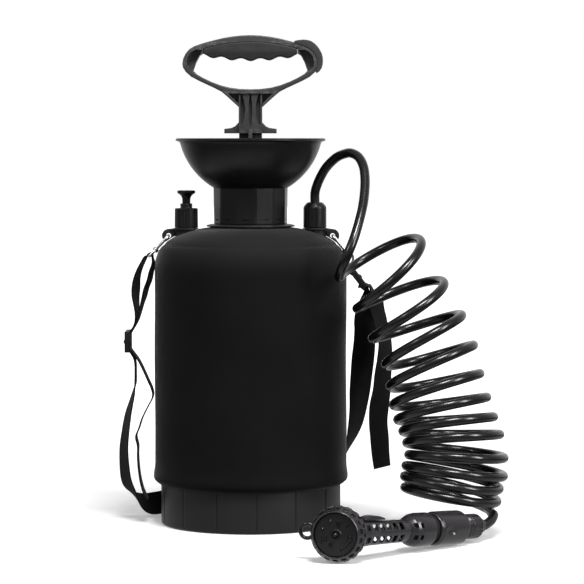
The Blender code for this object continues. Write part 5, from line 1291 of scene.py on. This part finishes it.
def gun_inlet():
    profile = [(4.4, -4), (5.6, -4), (6.4, -5.2), (6.4, -9), (5.6, -9.6), (5.6, -12), (6.4, -12.6),
               (6.4, -31.5), (16, -31.5), (17, -32.5), (17.1, -49), (16.3, -54.5), (14.6, -58.6),
               (11.6, -61.8), (9, -63.7), (4.4, -63.7)]
    pockets = []
    for level in WINDOW_ROWS:
        for reach, along in ((-12.2, -59.3), (-14.6, -53.3)):
            pockets.append(block("pocket", (6, 5, 3.6), (reach, level, along), 0.5, GUN))
    return carve(ring("gun_inlet_collar", profile, 0.8, 128, GUN), *pockets)


def gun_handle():
    """Slotted grip; its windows go through both sides."""
    profile = [(11, -64), (11.4, -70), (11.9, -95), (12.5, -122), (11.1, -122), (9.6, -64)]
    windows = []
    for index in range(5):
        along = WINDOW_START - WINDOW_PITCH * index
        for level in WINDOW_ROWS:
            windows.append(block("window", (50, 6.8, 6.6), (0, level, along), 0.5, GUN))
    return softened(carve(ring("gun_grip", profile, 0.5, 96, GUN), *windows), 0.3)


def inner_tube():
    return lathe("inner_tube", [(4.5, -64), (4.5, -122), (3, -122), (3, -64)], 48, closed=True, place=GUN)


def inlet_ring():
    profile = [(14.4, -25), (14.8, -26), (14.8, -30.2), (14.4, -31.2), (6.7, -31.2), (6.7, -25)]
    return ring("inlet_washer", profile, 0.5, 96, GUN)


LEVER = GUN @ Matrix.Translation((0, 13, -99)) @ Matrix.Rotation(-pi / 2, 4, "Y")


def lever_top(share):
    """Height of the thumb lever's curved top at a share of its length."""
    return 1.2 + 3.1 * sin(pi * share) ** 0.9


def thumb_lever():
    outline = [(-LEVER_LENGTH * share, lever_top(share)) for share in np.linspace(0, 1, 25)]
    outline += [(-LEVER_LENGTH, 0), (0, 0)]
    lever = slab("lever", [outline], 12, 0.6, LEVER @ Matrix.Rotation(-pi / 2, 4, "X"))
    cuts = []
    for index in range(5):
        along = -8 - 3.4 * index
        place = LEVER @ Matrix.Translation((0, lever_top(-along / LEVER_LENGTH) + 0.25, 0))
        cuts.append(block("groove", (1.1, 9.6, 1.2), (along, 0, 0), 0.3, place))
    return carve(lever, *cuts)


def dial_ring():
    """Ring with a scalloped grip band behind and a slanting front with a row of shallow windows."""
    profile = [(21.8, 5.8), (21.8, 1.2), (22, 0), (22.7, -0.2), (23.3, 0.4), (26.9, 8.2), (26.9, 9.2),
               (26.1, 9.6), (26.1, 10.4), (27.3, 10.8), (27.8, 11.6), (27.8, 16.2), (27, 17), (17.9, 17),
               (17.9, 5.8)]

    def shape(angles, radius, height):
        """Scallops round the grip band."""
        if radius < 26.95 or height < 10:
            return np.full(len(angles), radius)
        wave = 0.5 + 0.5 * np.cos(SCALLOPS * angles)
        return radius - 2.2 * np.clip((wave - 0.5) / 0.5, 0, 1) ** 0.75

    lean = Matrix.Translation((25.3, 0, 4.4)) @ Matrix.Rotation(radians(24.8), 4, "Y")
    pockets = []
    for index in range(SCALLOPS):
        turn = Matrix.Rotation(2 * pi * (index + 0.5) / SCALLOPS, 4, "Z")
        pockets.append(block("pocket", (3.6, 5.4, 5.2), (0, 0, 0), 0.4, HEAD @ turn @ lean))
    return carve(ring("dial", profile, 0.4, 432, HEAD, shape), *pockets)


def dial_face():
    """Plate with a nozzle for each spray: a jet, a fan, a soaker, two showers and a mist."""
    profile = [(0, 5.5), (21.5, 5.5), (21.5, 3.2), (20.8, 2.6), (5.6, 2.6), (5.2, 1.8),
               (4.2, 1.6), (3.6, 2.8), (2.9, 2.8), (2.6, 1), (2.2, 0), (1.6, -0.8), (0.9, -1.3), (0, -1.5)]
    plate = lathe("dial_plate", fillet(profile, 0.3), 144, place=HEAD)

    def spot(right, up, turn=0):
        return HEAD @ Matrix.Translation((-right, up, FACE_U)) @ Matrix.Rotation(radians(turn), 4, "Z")

    def peg(right, up, size):
        profile = [(0, 1), (size, 1), (size, -0.4), (size * 0.8, -1.2), (size * 0.4, -1.7), (0, -1.8)]
        return lathe("peg", fillet(profile, 0.4), 32, place=spot(right, up))

    def hole(right, up, size, steps=24, turn=0):
        return rod("hole", size, 1.8, -2, steps, spot(right, up, turn))

    def slit(right, up, width, height, turn=0):
        return block("slit", (width, height, 3.4), (0, 0, 0), 0.2, spot(right, up, turn))

    plate = unite(plate, peg(-6, 12.8, 2.0), peg(-13.5, 5, 1.6))
    cutters = [hole(-4, -9.7, 2.5)]
    for angle in np.radians(np.arange(-68, -23, 11)):
        cutters.append(hole(15.9 * cos(angle), 15.9 * sin(angle), 0.7))
    for index in range(7):
        cutters.append(hole(-14 + 2.6 * (index % 3), -3.5 - 2.6 * (index // 3), 0.65))
    cutters += [slit(12.6, -2, 1.2, 7, 4), slit(16.4, -2, 1.2, 7, -4), slit(14.5, -2, 3, 1.1),
                hole(3, 10.4, 4.2, 3, 30), slit(12.5, 10, 1.2, 6, 40)]
    return carve(plate, *cutters)


def head_housing():
    profile = [(0, 5.8), (17.5, 5.8), (17.5, 17.3), (24.2, 17.3), (25, 18), (24.6, 21.5), (23.2, 26),
               (20.6, 30.5), (17.6, 34.2), (14.4, 37.6), (12.4, 40.3), (0, 40.3)]
    housing = lathe("head_shell", fillet(profile, 0.8), 128, place=HEAD)
    profile = [(0, -122.3), (12.9, -122.3), (13.1, -127), (12.6, -137.6), (0, -137.6)]
    neck = lathe("neck", fillet(profile, 0.6), 96, place=GUN)
    ear = block("ear", (18, 3, 7), (21.5, 0, RING_PLACE[2]), 0.8, HEAD)
    hole = rod("hole", 2, 3, -3, 32, HEAD @ upright(RING_PLACE))
    windows = []
    for side in SIDES:
        for level in WINDOW_ROWS:
            windows.append(block("window", (6, 6.2, 5.4), (side * 12, level, NECK_WINDOW), 0.5, GUN))
    return softened(carve(unite(housing, neck, ear), hole, *windows), 0.3)


def hang_ring():
    angles = np.linspace(0, 2 * pi, 49)[:-1]
    path = [(RING_RADIUS * (1 - cos(angle)), RING_RADIUS * sin(angle), 0) for angle in angles]
    return pipe("hang_loop", path, 2.0, 24, closed=True, place=HEAD @ Matrix.Translation(RING_PLACE))


piece(gun_inlet(), "gun", "gun_plastic", "gun_inlet")
piece(gun_handle(), "gun", "gun_plastic", "gun_handle")
piece(inner_tube(), "gun", "inner_plastic", "water_tube")
piece(inlet_ring(), "gun", "rubber", "inlet_ring")
piece(thumb_lever(), "lever", "gun_plastic", "thumb_lever")
piece(dial_ring(), "dial", "gun_plastic", "dial_ring")
spray_face = piece(dial_face(), "dial", "gun_plastic", "dial_face")
# The face takes the darker copy of the gun plastic, which is painted shade.
spray_face.data.materials[0] = MATERIALS["dial_plastic_painted_shade"]
piece(head_housing(), "gun", "gun_plastic", "head_housing")
piece(hang_ring(), "ring", "hose", "hang_ring")


# Solids that stay, with their own finish

for entry in frame["record"]["subparts"]:
    node = bpy.data.objects.get(entry["node"])
    if node is None or node.hide_render:
        continue
    for index in range(len(node.material_slots)):
        node.material_slots[index].material = MATERIALS[entry["material_slot"]]


# Stage and light

FLOOR_GLOW = 0.22
WORLD_LIGHT = 0.3
GLOSSY_WORLD = 0.85
LIGHT_TARGET = Vector((0.06, -0.03, 0.2))


def emission(nodes, strength):
    made = nodes.node("ShaderNodeEmission")
    nodes.join(strength, made.inputs["Strength"])
    return made.outputs[0]


def blend(nodes, share, first, second):
    made = nodes.node("ShaderNodeMixShader")
    for socket, value in zip(made.inputs, (share, first, second)):
        nodes.join(value, socket)
    return made.outputs[0]


def stage_floor():
    """Pale floor that keeps the shadow: it turns white away from the object, and glossy rays see its glow."""
    shape = bmesh.new()
    bmesh.ops.create_grid(shape, x_segments=2, y_segments=2, size=14)
    floor = from_bmesh("floor", shape)
    nodes = Nodes("floor")
    path = nodes.node("ShaderNodeLightPath").outputs
    nodes.set(Base_Color=nodes.mix(path["Is Camera Ray"], (0.34, 0.34, 0.34), (0.85, 0.85, 0.85)))
    nodes.set(Roughness=0.9, Specular_IOR_Level=0.1)
    away = nodes.node("ShaderNodeVectorMath", operation="LENGTH")
    nodes.join(nodes.place, away.inputs[0])
    away = away.outputs["Value"]
    level = nodes.spread(away, 0.45, 1.6, FLOOR_GLOW, 1.0)
    both = nodes.node("ShaderNodeAddShader")
    nodes.join(nodes.shader.outputs[0], both.inputs[0])
    nodes.join(emission(nodes, nodes.math("MULTIPLY", path["Is Camera Ray"], level)), both.inputs[1])
    near = nodes.spread(away, 0.36, 0.7, 0.65, 0.0)
    rear = nodes.spread(nodes.parts(nodes.place)[1], 0.2, 2.2, 0.1, 0.9)
    reflected = emission(nodes, nodes.math("MAXIMUM", near, rear))
    surface = blend(nodes, path["Is Glossy Ray"], both.outputs[0], reflected)
    nodes.join(surface, nodes.tree.nodes["Material Output"].inputs["Surface"])
    floor.data.materials.append(nodes.material)
    floor.location = (0, 0, -0.0004)


def world():
    """Dim on the object, white to the camera, and brighter behind than in front to glossy rays."""
    studio = bpy.data.worlds.new("studio")
    bpy.context.scene.world = studio
    nodes = Nodes("studio", studio)
    path = nodes.node("ShaderNodeLightPath").outputs
    behind = nodes.spread(nodes.parts(nodes.coordinates["Generated"])[1], 0.1, 0.8, 0.04, GLOSSY_WORLD)
    reflected = nodes.math("ADD", path["Is Glossy Ray"], path["Is Transmission Ray"], clamp=True)
    reflected = nodes.math("MULTIPLY", reflected, behind, clamp=True)
    share = nodes.math("ADD", path["Is Camera Ray"], reflected, clamp=True)
    light = nodes.tree.nodes["Background"]
    white = nodes.node("ShaderNodeBackground")
    for background, strength in ((light, WORLD_LIGHT), (white, 1)):
        background.inputs["Color"].default_value = (1, 1, 1, 1)
        background.inputs["Strength"].default_value = strength
    surface = blend(nodes, share, light.outputs[0], white.outputs[0])
    nodes.join(surface, nodes.tree.nodes["World Output"].inputs["Surface"])


def softbox(name, azimuth, elevation, distance, width, height, power):
    """An area light that faces the object; azimuth runs from the camera's side towards the hose."""
    data = bpy.data.lights.new(name, "AREA")
    data.shape = "RECTANGLE"
    data.size = width
    data.size_y = height
    data.energy = power
    lamp = link(bpy.data.objects.new(name, data))
    turn = radians(azimuth)
    rise = radians(elevation)
    out = Vector((sin(turn) * cos(rise), -cos(turn) * cos(rise), sin(rise)))
    lamp.location = LIGHT_TARGET + distance * out
    lamp.rotation_euler = (LIGHT_TARGET - lamp.location).to_track_quat("-Z", "Y").to_euler()


stage_floor()
world()
softbox("left_box", azimuth=-46, elevation=38, distance=2.2, width=0.36, height=0.45, power=8)
softbox("right_box", azimuth=53, elevation=27, distance=2.2, width=0.42, height=1.2, power=30)
softbox("top_box", azimuth=10, elevation=60, distance=3.4, width=1.0, height=0.8, power=112)
bpy.context.scene.view_settings.view_transform = "Standard"
